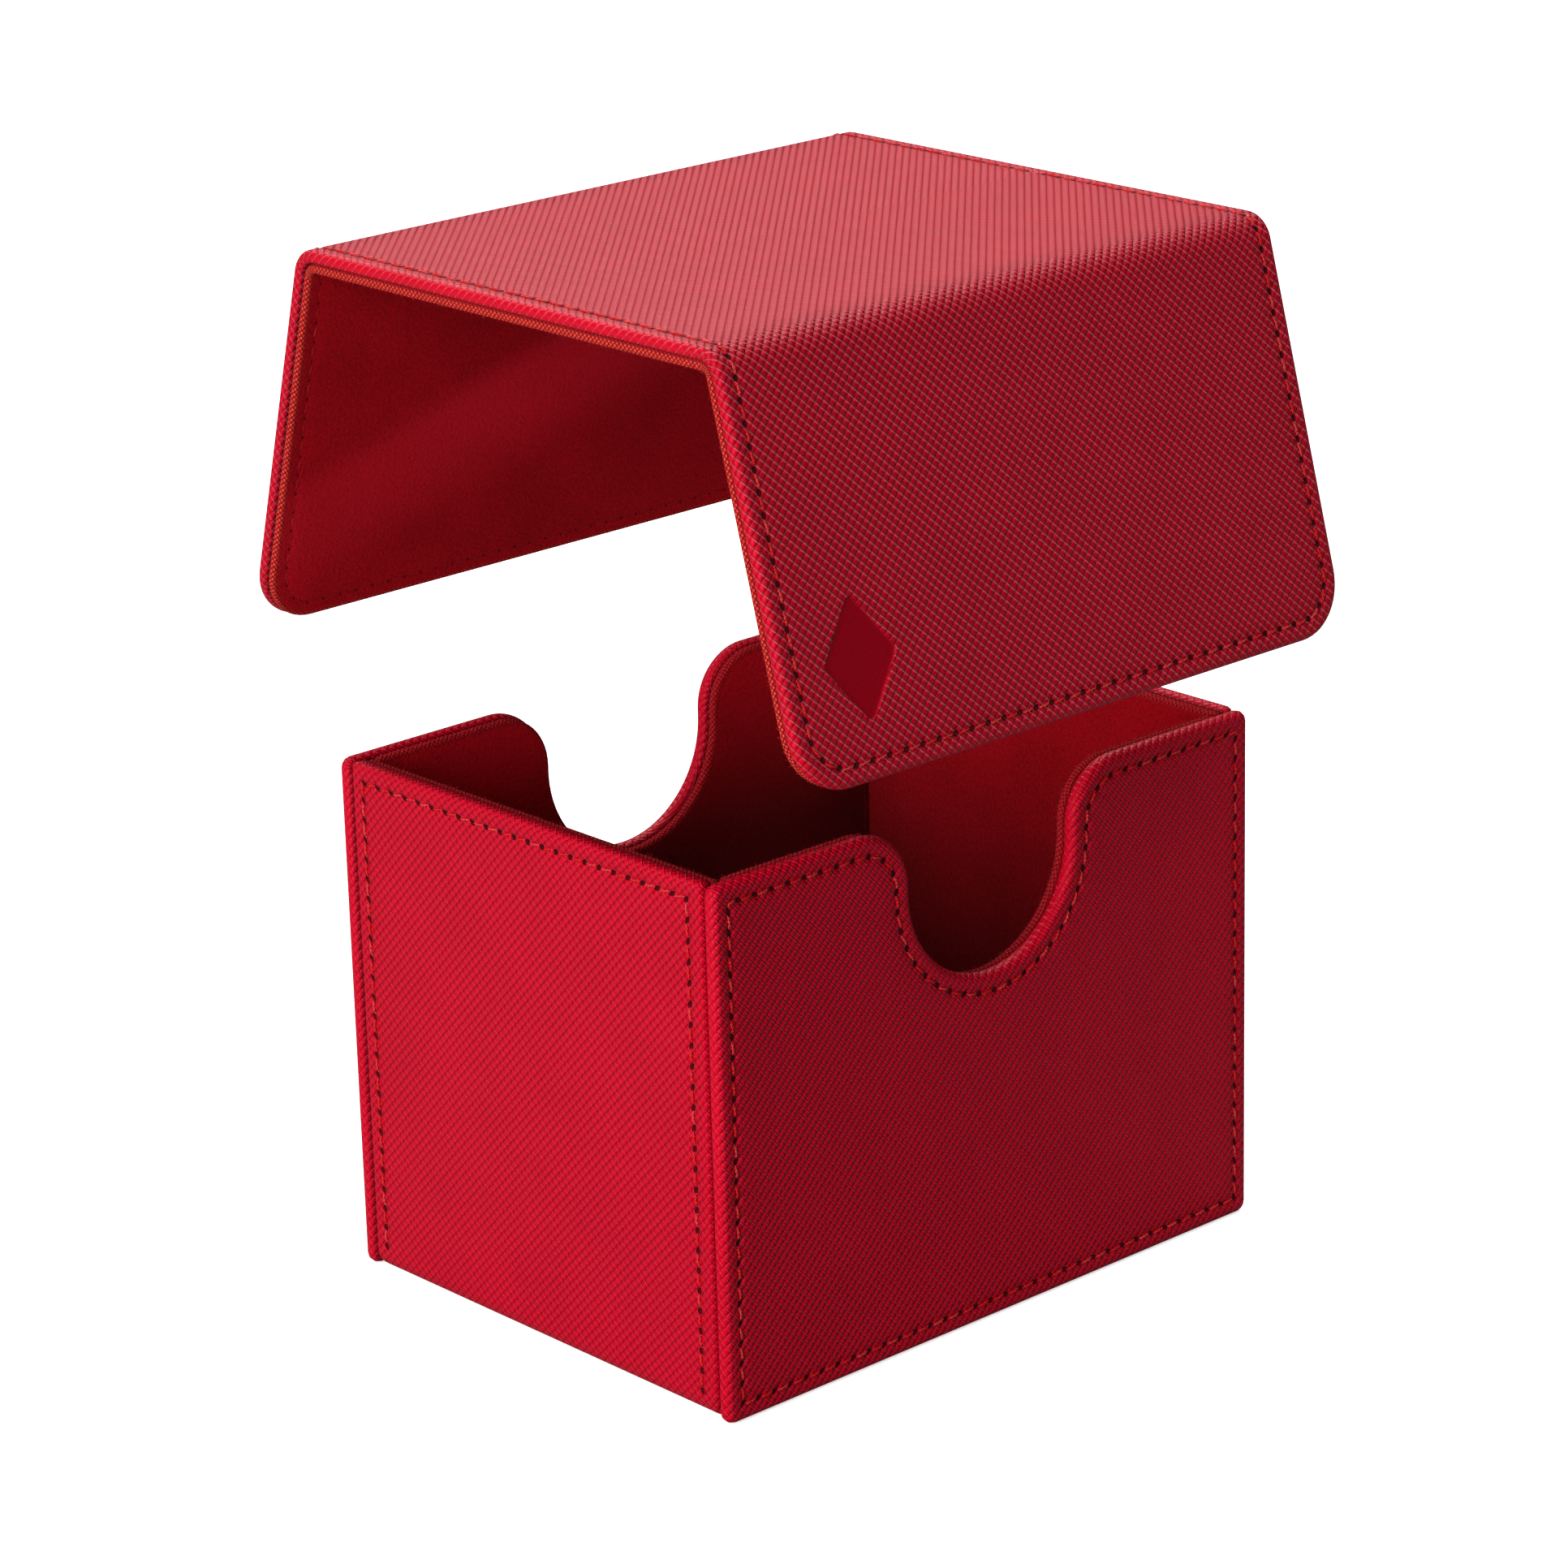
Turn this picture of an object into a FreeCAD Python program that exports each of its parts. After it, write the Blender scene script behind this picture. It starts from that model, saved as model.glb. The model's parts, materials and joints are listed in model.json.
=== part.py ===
import FreeCAD, Part
import math
import os
import re
import Sketcher

# Card deck box: a box of wrapped boards with a thumb notch front and back, and a separate
# lid of three panels whose two flaps fold on soft creases.  Millimetres, +Z up, origin at
# the middle of the box's underside.  The lid stands lifted off, with its flaps half open.

SIZES = {
    "base_width": 104.0,        # box along X
    "base_depth": 80.0,         # box along Y
    "base_height": 78.4,
    "wall_thick": 2.4,          # board with its wrapped skin, both sides
    "lining_thick": 1.6,        # lining card with its suede, both sides
    "skin": 0.5,                # leatherette
    "suede": 0.35,
    "turn_in": 10.0,            # skin folded over behind a board
    "wrap_round": 1.1,          # rounding of a wrapped board's edge
    "lining_round": 0.6,
    "corner_round": 1.6,        # corner of a wall, seen square on
    "lining_inset": 0.4,        # lining edge behind the cover's edge
    "panel_gap": 0.3,           # groove between a side panel and a wall
    "fold_round": 3.0,          # fold from side panel to floor
    "notch_round": 15.8,        # bottom of the thumb notch
    "notch_straight": 1.2,      # straight stretch of its sides
    "notch_shoulder": 9.0,      # its rounded upper corners
    "stitch_inset": 2.4,
    "thread_wide": 0.6,
    "thread_deep": 0.3,
    "lid_clearance": 0.3,       # lid to box, closed
    "lid_wall": 2.0,            # wrapped board of the lid
    "lid_lining": 1.4,
    "lid_round": 0.9,
    "rim_round": 0.9,           # rounding of the side panels' ends
    "flap_length": 59.5,        # from the lid's top face to the flap's free edge
    "flap_corner": 8.5,
    "crease_reach": 3.6,        # from the folded corner to the stiff panels
    "splay": 15.0,              # degrees that a flap stands open
    "lid_lift": 70.0,           # how far the lid stands above its closed place
    "magnet_diameter": 8.0,
    "magnet_spread": 36.0,      # from the middle to a magnet
    "magnet_up": 12.0,          # from the flap's free edge to a magnet
    "emblem_wide": 13.0,
    "emblem_high": 17.5,
    "emblem_side": 14.0,        # from the flap's side edge to the emblem's middle
    "emblem_up": 16.0,          # from the flap's free edge to the emblem's middle
    "emblem_deep": 0.25,
}

LID_THICK = "(lid_wall + lid_lining)"
LID_TOP = f"(base_height + lid_clearance + {LID_THICK} + lid_lift)"
LID_REACH = f"(base_depth/2 + lid_clearance + {LID_THICK})"    # middle to a closed flap's face
PIVOT_IN = "(crease_reach*(1 - sqrt(0.5)))"                   # crease axis inside both faces
SIDE_LENGTH = "(base_depth - 2*wall_thick - 2*panel_gap)"
INSIDE_FLOOR = "(wall_thick + lining_thick)"
NOTCH_BOTTOM = "(base_height - notch_shoulder - notch_straight - notch_round)"
CLOSED_FLAP_EDGE = f"(base_height + lid_clearance + {LID_THICK} - flap_length)"

ABOUT_X = "rotation(vector(1; 0; 0); {})"
ABOUT_Z = "rotation(vector(0; 0; 1); {})"
UPRIGHT = ABOUT_X.format(90)
SPLAYED = ABOUT_X.format("90 - splay")

PLACES = {
    "world": "placement(vector(0; 0; 0); " + ABOUT_X.format(0) + ")",
    "front_wall": "placement(vector(0; -base_depth/2; 0); " + UPRIGHT + ")",
    "back_wall": f"placement(vector(0; base_depth/2; 0); {ABOUT_Z.format(180)}*{UPRIGHT})",
    "left_side": f"placement(vector(-base_width/2; 0; 0); {ABOUT_Z.format(-90)}*{UPRIGHT})",
    "right_side": f"placement(vector(base_width/2; 0; 0); {ABOUT_Z.format(90)}*{UPRIGHT})",
    "floor": "placement(vector(0; 0; 0); " + ABOUT_X.format(180) + ")",
    "lid_top": f"placement(vector(0; 0; {LID_TOP}); {ABOUT_X.format(0)})",
    "front_flap": f"placement(vector(0; {PIVOT_IN} - {LID_REACH}; {LID_TOP} - {PIVOT_IN});"
                  f" {SPLAYED})",
    "back_flap": f"placement(vector(0; {LID_REACH} - {PIVOT_IN}; {LID_TOP} - {PIVOT_IN});"
                 f" {ABOUT_Z.format(180)}*{SPLAYED})",
    "front_crease": f"placement(vector(0; {PIVOT_IN} - {LID_REACH}; {LID_TOP} - {PIVOT_IN});"
                    f" {ABOUT_Z.format(0)})",
    "back_crease": f"placement(vector(0; {LID_REACH} - {PIVOT_IN}; {LID_TOP} - {PIVOT_IN});"
                   f" {ABOUT_Z.format(180)})",
}

doc = FreeCAD.newDocument("card_deck_box")
sheet = doc.addObject("Spreadsheet::Sheet", "Sizes")
nodes = []


def fill_sheet():
    """Put every driving size in the sheet under its own name."""
    for row, (name, size) in enumerate(SIZES.items(), start=1):
        sheet.set(f"A{row}", name)
        sheet.set(f"B{row}", str(size))
        sheet.setAlias(f"B{row}", name)
    doc.recompute()


def sized(expression):
    """The expression with each size read from the sheet."""
    return re.sub(r"[a-z_]+", lambda word: "Sizes." + word[0] if word[0] in SIZES else word[0],
                  expression)


def number(expression):
    return float(sheet.evalExpression(expression))


def keep(thing, label):
    """Make the object one of the box's own pieces."""
    thing.Label = label
    nodes.append(thing)
    return thing


def arc_centre(first, last, radius):
    """Centre of the short arc between two points: left of them if the radius is positive."""
    middle = (first + last)*0.5
    chord = last - first
    rise = math.sqrt(max(radius**2 - (chord.Length/2)**2, 0.0))
    across = FreeCAD.Vector(-chord.y, chord.x, 0).normalize()
    return middle + across*math.copysign(rise, radius)


def add_loop(sketch, outline):
    """Add a closed loop to a sketch, each corner fixed by sizes and each arc by its radius."""
    corners = [FreeCAD.Vector(number(x), number(y), 0) for x, y, _ in outline]
    ends = []
    for index, (_, _, bend) in enumerate(outline):
        first, last = corners[index], corners[(index + 1) % len(outline)]
        if bend is None:
            edge = sketch.addGeometry(Part.LineSegment(first, last))
            ends.append((edge, 1, 2))
            continue
        radius = number(bend)
        centre = arc_centre(first, last, radius)
        start, stop = (first, last) if radius > 0 else (last, first)
        angles = [math.atan2(point.y - centre.y, point.x - centre.x) for point in (start, stop)]
        circle = Part.Circle(centre, FreeCAD.Vector(0, 0, 1), abs(radius))
        edge = sketch.addGeometry(Part.ArcOfCircle(circle, *angles))
        ends.append((edge, 1, 2) if radius > 0 else (edge, 2, 1))
    for index, (x, y, bend) in enumerate(outline):
        edge, first, _ = ends[index]
        previous, _, last = ends[index - 1]
        sketch.addConstraint(Sketcher.Constraint("Coincident", previous, last, edge, first))
        for kind, size in (("DistanceX", x), ("DistanceY", y)):
            place = sketch.addConstraint(
                Sketcher.Constraint(kind, -1, 1, edge, first, number(size)))
            sketch.setExpression(f"Constraints[{place}]", sized(size))
        if bend is not None:
            size = bend if number(bend) > 0 else f"-({bend})"
            place = sketch.addConstraint(Sketcher.Constraint("Radius", edge, number(size)))
            sketch.setExpression(f"Constraints[{place}]", sized(size))


def draw(body, plane, outlines, height="0"):
    """Sketch closed loops on one of the body's own planes.

    An outline is a list of corners (x, y, bend), where bend is the radius of the arc that
    leaves the corner, negative where the arc turns clockwise, or None for a straight edge.
    """
    sketch = body.newObject("Sketcher::SketchObject", body.Name + "_outline")
    planes = {feature.Role: feature for feature in body.Origin.OriginFeatures}
    sketch.AttachmentSupport = [(planes[plane], "")]
    sketch.MapMode = "FlatFace"
    sketch.setExpression("AttachmentOffset.Base.z", sized(height))
    for outline in outlines:
        add_loop(sketch, outline)
    return sketch


def round_rim(body, base, radius, at_rim):
    """Fillet those edges of a feature for which at_rim(edge) holds."""
    doc.recompute()
    names = [f"Edge{index}" for index, edge in enumerate(base.Shape.Edges, start=1) if at_rim(edge)]
    fillet = body.newObject("PartDesign::Fillet", body.Name + "_rim")
    fillet.Base = (base, names)
    fillet.setExpression("Radius", sized(radius))
    return fillet


def slab(name, outlines, depths, place, radius=None, plain_ends=()):
    """A flat piece between two depths of a panel; its rims are rounded but for plain ends."""
    body = doc.addObject("PartDesign::Body", name)
    back, front = depths
    sketch = draw(body, "XY_Plane", outlines, back)
    pad = body.newObject("PartDesign::Pad", name + "_pad")
    pad.Profile = sketch
    pad.setExpression("Length", sized(f"{front} - ({back})"))
    if radius is not None:
        levels = [number(depth) for depth in depths]
        ends = [number(end) for end in plain_ends]

        def at_rim(edge):
            heights = [vertex.Z for vertex in edge.Vertexes]
            flat = any(all(abs(z - level) < 1e-6 for z in heights) for level in levels)
            along = [vertex.Y for vertex in edge.Vertexes]
            return flat and not any(all(abs(y - end) < 1e-6 for y in along) for end in ends)

        round_rim(body, pad, radius, at_rim)
    body.setExpression("Placement", sized(PLACES[place]))
    return body


def strip(name, plane, outline, length, place):
    """A profile drawn out evenly both ways across its plane."""
    body = doc.addObject("PartDesign::Body", name)
    sketch = draw(body, plane, [outline])
    pad = body.newObject("PartDesign::Pad", name + "_pad")
    pad.Profile = sketch
    pad.Midplane = True
    pad.setExpression("Length", sized(length))
    body.setExpression("Placement", sized(PLACES[place]))
    return body


def cut(name, base, *tools):
    """The base less its tools."""
    result = doc.addObject("Part::Cut", name)
    result.Base = base
    result.Tool = tools[0]
    if len(tools) > 1:
        joined = doc.addObject("Part::MultiFuse", name + "_tools")
        joined.Shapes = list(tools)
        result.Tool = joined
    return result


def group(name, *pieces):
    result = doc.addObject("Part::Compound", name)
    result.Links = list(pieces)
    return result


def notch(high, top, inset):
    """Corners of the thumb notch, from its right shoulder round its bottom to its left."""
    shoulder, bowl = f"(notch_shoulder - {inset})", f"(notch_round + {inset})"
    mouth = "(notch_round + notch_shoulder)"
    neck, base = f"({high} - notch_shoulder)", f"({high} - notch_shoulder - notch_straight)"
    return [
        (mouth, top, shoulder),
        (bowl, neck, None),
        (bowl, base, f"-{bowl}"),
        ("0", f"({base} - {bowl})", f"-{bowl}"),
        (f"-{bowl}", base, None),
        (f"-{bowl}", neck, shoulder),
        (f"-{mouth}", top, None),
    ]


def panel(width, low, high, inset="0", low_corner=None, high_corner=None, notched=False):
    """Outline of a panel, anticlockwise from its lower left corner."""
    right = f"(({width})/2 - {inset})"
    levels = {-1: f"({low} + {inset})", 1: f"({high} - {inset})"}
    outline = []
    for side, end, radius in ((-1, -1, low_corner), (1, -1, low_corner),
                              (1, 1, high_corner), (-1, 1, high_corner)):
        if notched and (side, end) == (-1, 1):
            outline.extend(notch(high, levels[1], inset))
        if radius is None:
            outline.append((f"{side}*{right}", levels[end], None))
            continue
        bend = f"({radius} - {inset})"
        on_level = (f"{side}*({right} - {bend})", levels[end])
        on_side = (f"{side}*{right}", f"({levels[end]} + ({-end})*{bend})")
        first, last = (on_side, on_level) if side*end > 0 else (on_level, on_side)
        outline.extend([(*first, bend), (*last, None)])
    return outline


def channel(width, low, high, inset, corner=None):
    """Outline of a thread's run down one side of a panel, along its low edge and up again."""
    outer, low_outer = f"(({width})/2 - {inset})", f"({low} + {inset})"
    inner, low_inner = f"({outer} - thread_wide)", f"({low_outer} + thread_wide)"
    if corner is None:
        return [
            (f"-{outer}", high, None), (f"-{outer}", low_outer, None),
            (outer, low_outer, None), (outer, high, None),
            (inner, high, None), (inner, low_inner, None),
            (f"-{inner}", low_inner, None), (f"-{inner}", high, None),
        ]
    wide, tight = f"({corner} - {inset})", f"({corner} - {inset} - thread_wide)"
    turn, rise = f"({outer} - {wide})", f"({low_outer} + {wide})"
    return [
        (f"-{outer}", high, None), (f"-{outer}", rise, wide),
        (f"-{turn}", low_outer, None), (turn, low_outer, wide),
        (outer, rise, None), (outer, high, None),
        (inner, high, None), (inner, rise, f"-{tight}"),
        (turn, low_inner, None), (f"-{turn}", low_inner, f"-{tight}"),
        (f"-{inner}", rise, None), (f"-{inner}", high, None),
    ]


def turned(outline):
    """The outline turned half round in its plane."""
    return [(f"-({x})", f"-({y})", bend) for x, y, bend in outline]


def layer(start, thick, back="0", front="0"):
    """Depths of a layer that starts at a depth and runs inwards, less a skin each side."""
    return f"{start} - {thick} + {back}", f"{start} - {front}"


def wrapped(cover, core, shape, window, start, thick, skin, radius, place,
            plain_ends=(), magnets=None, sunk=(), faces_in=False):
    """A stiff core wrapped in a skin that turns in behind it, round an open window.

    shape gives the outline at an inset; magnets fill holes in the core; the pieces in sunk
    lie in the skin's face; faces_in puts the turned-in side, and its window, outermost.
    """
    blank = slab(cover + "_blank", [shape("0")], layer(start, thick), place, radius, plain_ends)
    stiff = slab(core + "_blank", [shape(skin)], layer(start, thick, skin, skin), place)
    seam = layer(start, skin) if faces_in else layer(start, thick, "0", f"({thick} - {skin})")
    opening = slab(cover + "_window", [window], seam, place)
    keep(cut(cover, blank, stiff, opening, *sunk), cover)
    keep(cut(core, stiff, magnets) if magnets else stiff, core)


def magnet_pair(name, level, depths, place):
    """Two disc magnets through a board, one each side of the middle."""
    back, front = depths
    discs = []
    for index, side in enumerate((-1, 1)):
        disc = doc.addObject("Part::Cylinder", f"{name}_{index}")
        disc.setExpression("Radius", sized("magnet_diameter/2"))
        disc.setExpression("Height", sized(f"{front} - ({back})"))
        spot = f"placement(vector({side}*magnet_spread; {level}; {back}); {ABOUT_Z.format(0)})"
        disc.setExpression("Placement", sized(f"{PLACES[place]}*{spot}"))
        discs.append(disc)
    return keep(group(name, *discs), name)


def build_wall(name):
    """A wall with a thumb notch: wrapped board, stitching, magnets and suede lining."""
    board_depths = layer("0", "wall_thick", "skin", "skin")
    magnets = magnet_pair(name + "_magnets", f"({CLOSED_FLAP_EDGE} + magnet_up)", board_depths,
                          name)
    rows = [panel("base_width", "0", "base_height", inset, notched=True)
            for inset in ("stitch_inset", "(stitch_inset + thread_wide)")]
    thread = keep(slab(name + "_stitching", rows, ("-thread_deep", "0"), name),
                  name + "_stitching")
    wrapped(name + "_cover", name + "_board",
            lambda inset: panel("base_width", "0", "base_height", inset, "corner_round",
                                "corner_round", notched=True),
            panel("base_width", "0", NOTCH_BOTTOM, "turn_in"),
            "0", "wall_thick", "skin", "wrap_round", name, magnets=magnets, sunk=[thread])
    wrapped(name + "_lining", name + "_lining_board",
            lambda inset: panel("base_width - 2*wall_thick - 2*lining_thick", INSIDE_FLOOR,
                                "base_height", f"(lining_inset + {inset})", notched=True),
            panel("base_width - 2*wall_thick - 2*lining_thick", INSIDE_FLOOR, NOTCH_BOTTOM,
                  "turn_in"),
            "-wall_thick", "lining_thick", "suede", "lining_round", name, faces_in=True)


def build_side_lining(name, place, width, low, high, inset):
    wrapped(name + "_lining", name + "_lining_board",
            lambda less: panel(width, low, high, f"({inset} + {less})"),
            panel(width, low, high, "turn_in"),
            "-wall_thick", "lining_thick", "suede", "lining_round", place, faces_in=True)


def build_tray():
    """The side panels and the floor: three boards in one folded skin, with their linings."""
    board_depths = layer("0", "wall_thick", "skin", "skin")
    window_depths = layer("0", "wall_thick", "0", "(wall_thick - skin)")
    tools = []
    for side in ("left_side", "right_side"):
        board = slab(side + "_board",
                     [panel(f"{SIDE_LENGTH} - 2*skin", "fold_round", "base_height - skin")],
                     board_depths, side)
        tools.append(keep(board, side + "_board"))
        tools.append(slab(side + "_window", [panel(SIDE_LENGTH, "0", "base_height", "turn_in")],
                          window_depths, side))
        row = turned(channel(SIDE_LENGTH, "-base_height", "-fold_round", "stitch_inset"))
        thread = slab(side + "_stitching", [row], ("-thread_deep", "0"), side)
        tools.append(keep(thread, side + "_stitching"))
    half_board = f"({SIDE_LENGTH}/2 - skin)"
    board = slab("floor_board",
                 [panel("base_width - 2*fold_round", f"-{half_board}", half_board)],
                 board_depths, "floor")
    tools.append(keep(board, "floor_board"))
    tools.append(slab("floor_window",
                      [panel("base_width", f"-{SIDE_LENGTH}/2", f"{SIDE_LENGTH}/2", "turn_in")],
                      window_depths, "floor"))
    outer, inner = "(base_width/2)", "(base_width/2 - wall_thick)"
    fold, shoulder = f"({outer} - fold_round)", f"({outer} - wrap_round)"
    profile = [
        (f"-{outer}", "fold_round", "fold_round"), (f"-{fold}", "0", None),
        (fold, "0", "fold_round"), (outer, "fold_round", None),
        (outer, "base_height - wrap_round", "wrap_round"), (shoulder, "base_height", None),
        (inner, "base_height", None), (inner, "wall_thick", None),
        (f"-{inner}", "wall_thick", None), (f"-{inner}", "base_height", None),
        (f"-{shoulder}", "base_height", "wrap_round"),
        (f"-{outer}", "base_height - wrap_round", None),
    ]
    blank = strip("side_and_floor_blank", "XZ_Plane", profile, SIDE_LENGTH, "world")
    end, lining_face, thick = (number(size) for size in (f"{SIDE_LENGTH}/2", inner, "wall_thick"))

    def on_lining(vertex):
        return abs(vertex.X) < lining_face + 1e-6 and vertex.Z > thick - 1e-6

    def at_rim(edge):
        at_end = all(abs(abs(vertex.Y) - end) < 1e-6 for vertex in edge.Vertexes)
        level = edge.Vertexes[0].Y*edge.Vertexes[-1].Y > 0
        return at_end and level and not all(on_lining(vertex) for vertex in edge.Vertexes)

    doc.recompute()
    round_rim(blank, blank.Tip, "rim_round", at_rim)
    keep(cut("side_and_floor_cover", blank, *tools), "side_and_floor_cover")
    for side in ("left_side", "right_side"):
        build_side_lining(side, side, "base_depth - 2*wall_thick", INSIDE_FLOOR, "base_height",
                          "lining_inset")
    build_side_lining("floor", "floor", "base_width - 2*wall_thick",
                      "-(base_depth/2 - wall_thick)", "(base_depth/2 - wall_thick)", "0")


def build_lid_top():
    """The lid's top panel with its lining and the two rows along its open sides."""
    half = f"({LID_REACH} - crease_reach)"
    rows = []
    for index, side in enumerate((-1, 1)):
        near, far = (f"{side}*(base_width/2 - stitch_inset - {more})"
                     for more in ("thread_wide", "0"))
        left, right = (near, far) if side > 0 else (far, near)
        loop = [(left, f"-{half}", None), (right, f"-{half}", None),
                (right, half, None), (left, half, None)]
        rows.append(slab(f"lid_top_row_{index}", [loop], ("-thread_deep", "0"), "lid_top"))
    thread = keep(group("lid_top_stitching", *rows), "lid_top_stitching")
    ends = (f"-{half}", half)
    wrapped("lid_top_cover", "lid_top_board",
            lambda inset: panel("base_width", f"-{half}", half, inset),
            panel("base_width", f"-{half}", half, "turn_in"),
            "0", "lid_wall", "skin", "lid_round", "lid_top", ends, sunk=[thread])
    wrapped("lid_top_lining", "lid_top_lining_card",
            lambda inset: panel("base_width - 2*lining_inset", f"-{half}", half, inset),
            panel("base_width", f"-{half}", half, "turn_in"),
            "-lid_wall", "lid_lining", "suede", "lining_round", "lid_top", ends, faces_in=True)


def emblem_recess(low):
    """The blank of the plain lozenge pressed into the front flap."""
    across, along = "(emblem_side - base_width/2)", f"({low} + emblem_up)"
    lozenge = [
        (across, f"{along} - emblem_high/2", None), (f"{across} + emblem_wide/2", along, None),
        (across, f"{along} + emblem_high/2", None), (f"{across} - emblem_wide/2", along, None),
    ]
    return slab("emblem_recess", [lozenge], (f"{PIVOT_IN} - emblem_deep", PIVOT_IN), "front_flap")


def build_flap(name, presses=()):
    """A flap of the lid, drawn from its crease axis down, with its stitching and magnets."""
    low, high = f"({PIVOT_IN} - flap_length)", f"({PIVOT_IN} - crease_reach)"
    magnets = magnet_pair(name + "_magnets", f"({low} + magnet_up)",
                          layer(PIVOT_IN, "lid_wall", "skin", "skin"), name)
    row = channel("base_width", low, high, "stitch_inset", "flap_corner")
    thread = keep(slab(name + "_stitching", [row], (f"{PIVOT_IN} - thread_deep", PIVOT_IN), name),
                  name + "_stitching")
    wrapped(name + "_cover", name + "_board",
            lambda inset: panel("base_width", low, high, inset, "flap_corner"),
            panel("base_width", low, high, "turn_in"),
            PIVOT_IN, "lid_wall", "skin", "lid_round", name, (high,), magnets,
            [thread, *(press(low) for press in presses)])
    wrapped(name + "_lining", name + "_lining_card",
            lambda inset: panel("base_width - 2*lining_inset", f"{low} + lining_inset", high,
                                inset, "flap_corner"),
            panel("base_width", low, high, "turn_in"),
            f"{PIVOT_IN} - lid_wall", "lid_lining", "suede", "lining_round", name, (high,),
            faces_in=True)


def build_crease(name):
    """The bent skin and the bent lining that carry a flap, drawn from the crease axis."""
    stiff = f"(crease_reach - {PIVOT_IN})"
    half_turn = "tan(45 - splay/2)"
    bend = f"(({stiff} + {PIVOT_IN}*{half_turn})/{half_turn})"

    def on_flap(depth):
        """Start of the flap's stiff part, at a depth inside its face."""
        return (f"(({depth} - {PIVOT_IN})*cos(splay) - {stiff}*sin(splay))",
                f"(-({depth} - {PIVOT_IN})*sin(splay) - {stiff}*cos(splay))")

    def inner_corner(depth):
        """Where the top's and the flap's planes at a depth meet."""
        below = f"({depth} - {PIVOT_IN})"
        return f"({below}*(1 - sin(splay))/cos(splay))", f"-{below}"

    skin_strip = [
        (stiff, PIVOT_IN, bend), (*on_flap("0"), None),
        (*on_flap("skin"), f"-({bend} - skin)"), (stiff, f"({PIVOT_IN} - skin)", None),
    ]
    inside, outside = LID_THICK, f"({LID_THICK} - suede)"
    lining_strip = [
        (stiff, f"({PIVOT_IN} - {outside})", None), (*inner_corner(outside), None),
        (*on_flap(outside), None), (*on_flap(inside), None),
        (*inner_corner(inside), None), (stiff, f"({PIVOT_IN} - {inside})", None),
    ]
    keep(strip(name + "_cover", "YZ_Plane", skin_strip, "base_width", name), name + "_cover")
    keep(strip(name + "_lining", "YZ_Plane", lining_strip, "base_width - 2*lining_inset", name),
         name + "_lining")


def check(things):
    """Stop unless every object is computed and every piece is a sound, filled shape."""
    doc.recompute()
    broken = [thing.Name for thing in doc.Objects
              if "Invalid" in thing.State or "Error" in thing.State]
    for thing in things:
        shape = thing.Shape
        if shape.isNull() or not shape.isValid() or not shape.Solids or shape.Volume <= 0:
            broken.append(thing.Label)
    if broken:
        raise RuntimeError("not built: " + ", ".join(broken))


def write(things):
    os.makedirs("parts", exist_ok=True)
    for thing in things:
        thing.Shape.exportStep(os.path.join("parts", thing.Label + ".step"))
        print(f"{thing.Label:26s} solids {len(thing.Shape.Solids)}"
              f"  volume {thing.Shape.Volume:9.1f} mm3")
    print(len(things), "pieces")


fill_sheet()
build_wall("front_wall")
build_wall("back_wall")
build_tray()
build_lid_top()
build_flap("front_flap", presses=[emblem_recess])
build_flap("back_flap")
build_crease("front_crease")
build_crease("back_crease")
check(nodes)
write(nodes)
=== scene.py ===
"""Looks of the card deck box: skins, suede, stitching, finishes, light and camera.

Panels are drawn flat, in millimetres, with a depth measured inwards from the face, and a
place function puts each point in space, round whatever folds the skin takes.
"""

import json
import logging
import math
import random
from bisect import bisect_right
from dataclasses import dataclass, field, replace
from enum import Enum
from typing import Callable, Optional, Sequence, Union

import bpy
from mathutils import Matrix, Vector
from mathutils.geometry import delaunay_2d_cdt


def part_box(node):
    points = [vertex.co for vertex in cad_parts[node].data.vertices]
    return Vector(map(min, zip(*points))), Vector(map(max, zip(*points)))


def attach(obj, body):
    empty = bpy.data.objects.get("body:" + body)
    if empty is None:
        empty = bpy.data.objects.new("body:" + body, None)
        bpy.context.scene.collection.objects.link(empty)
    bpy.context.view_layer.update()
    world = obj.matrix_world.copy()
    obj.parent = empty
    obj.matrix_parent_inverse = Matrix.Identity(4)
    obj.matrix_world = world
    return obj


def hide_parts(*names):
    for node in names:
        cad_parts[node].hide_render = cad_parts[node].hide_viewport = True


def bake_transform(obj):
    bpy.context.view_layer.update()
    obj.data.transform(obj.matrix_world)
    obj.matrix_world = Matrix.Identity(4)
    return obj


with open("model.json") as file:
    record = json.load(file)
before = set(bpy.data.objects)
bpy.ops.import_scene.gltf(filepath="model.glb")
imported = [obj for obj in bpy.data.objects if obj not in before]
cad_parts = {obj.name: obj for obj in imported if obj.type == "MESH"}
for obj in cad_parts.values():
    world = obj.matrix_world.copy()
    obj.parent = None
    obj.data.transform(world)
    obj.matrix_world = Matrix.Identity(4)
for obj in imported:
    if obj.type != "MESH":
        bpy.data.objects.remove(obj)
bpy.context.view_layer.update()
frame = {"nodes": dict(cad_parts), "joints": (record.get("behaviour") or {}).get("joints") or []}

LOG = logging.getLogger("card_deck_box")
MM = 0.001
WHITE = (1.0, 1.0, 1.0)
BELL_FALL = 2.2         # how fast an embossed line falls off to its sides
FAR_INSIDE = 50.0       # a distance from the edge that stands for: no row of stitches here
SAME_POINT = 1e-3       # millimetres within which two points of an edge are one
NO_HOLE = 0.001         # a needle hole too small to see
HAIR = 1e-6             # slack where lengths and levels are compared

Point = tuple[float, float]
Place = Callable[[float, float, float], Vector]
Colour = tuple[float, float, float]


# ---------------------------------------------------------------- flat outlines

@dataclass(frozen=True)
class Corner:
    """A corner of a panel: its place, its rounding, and whether it cuts into the panel."""

    x: float
    y: float
    radius: float = 0.0
    hollow: bool = False


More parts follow.
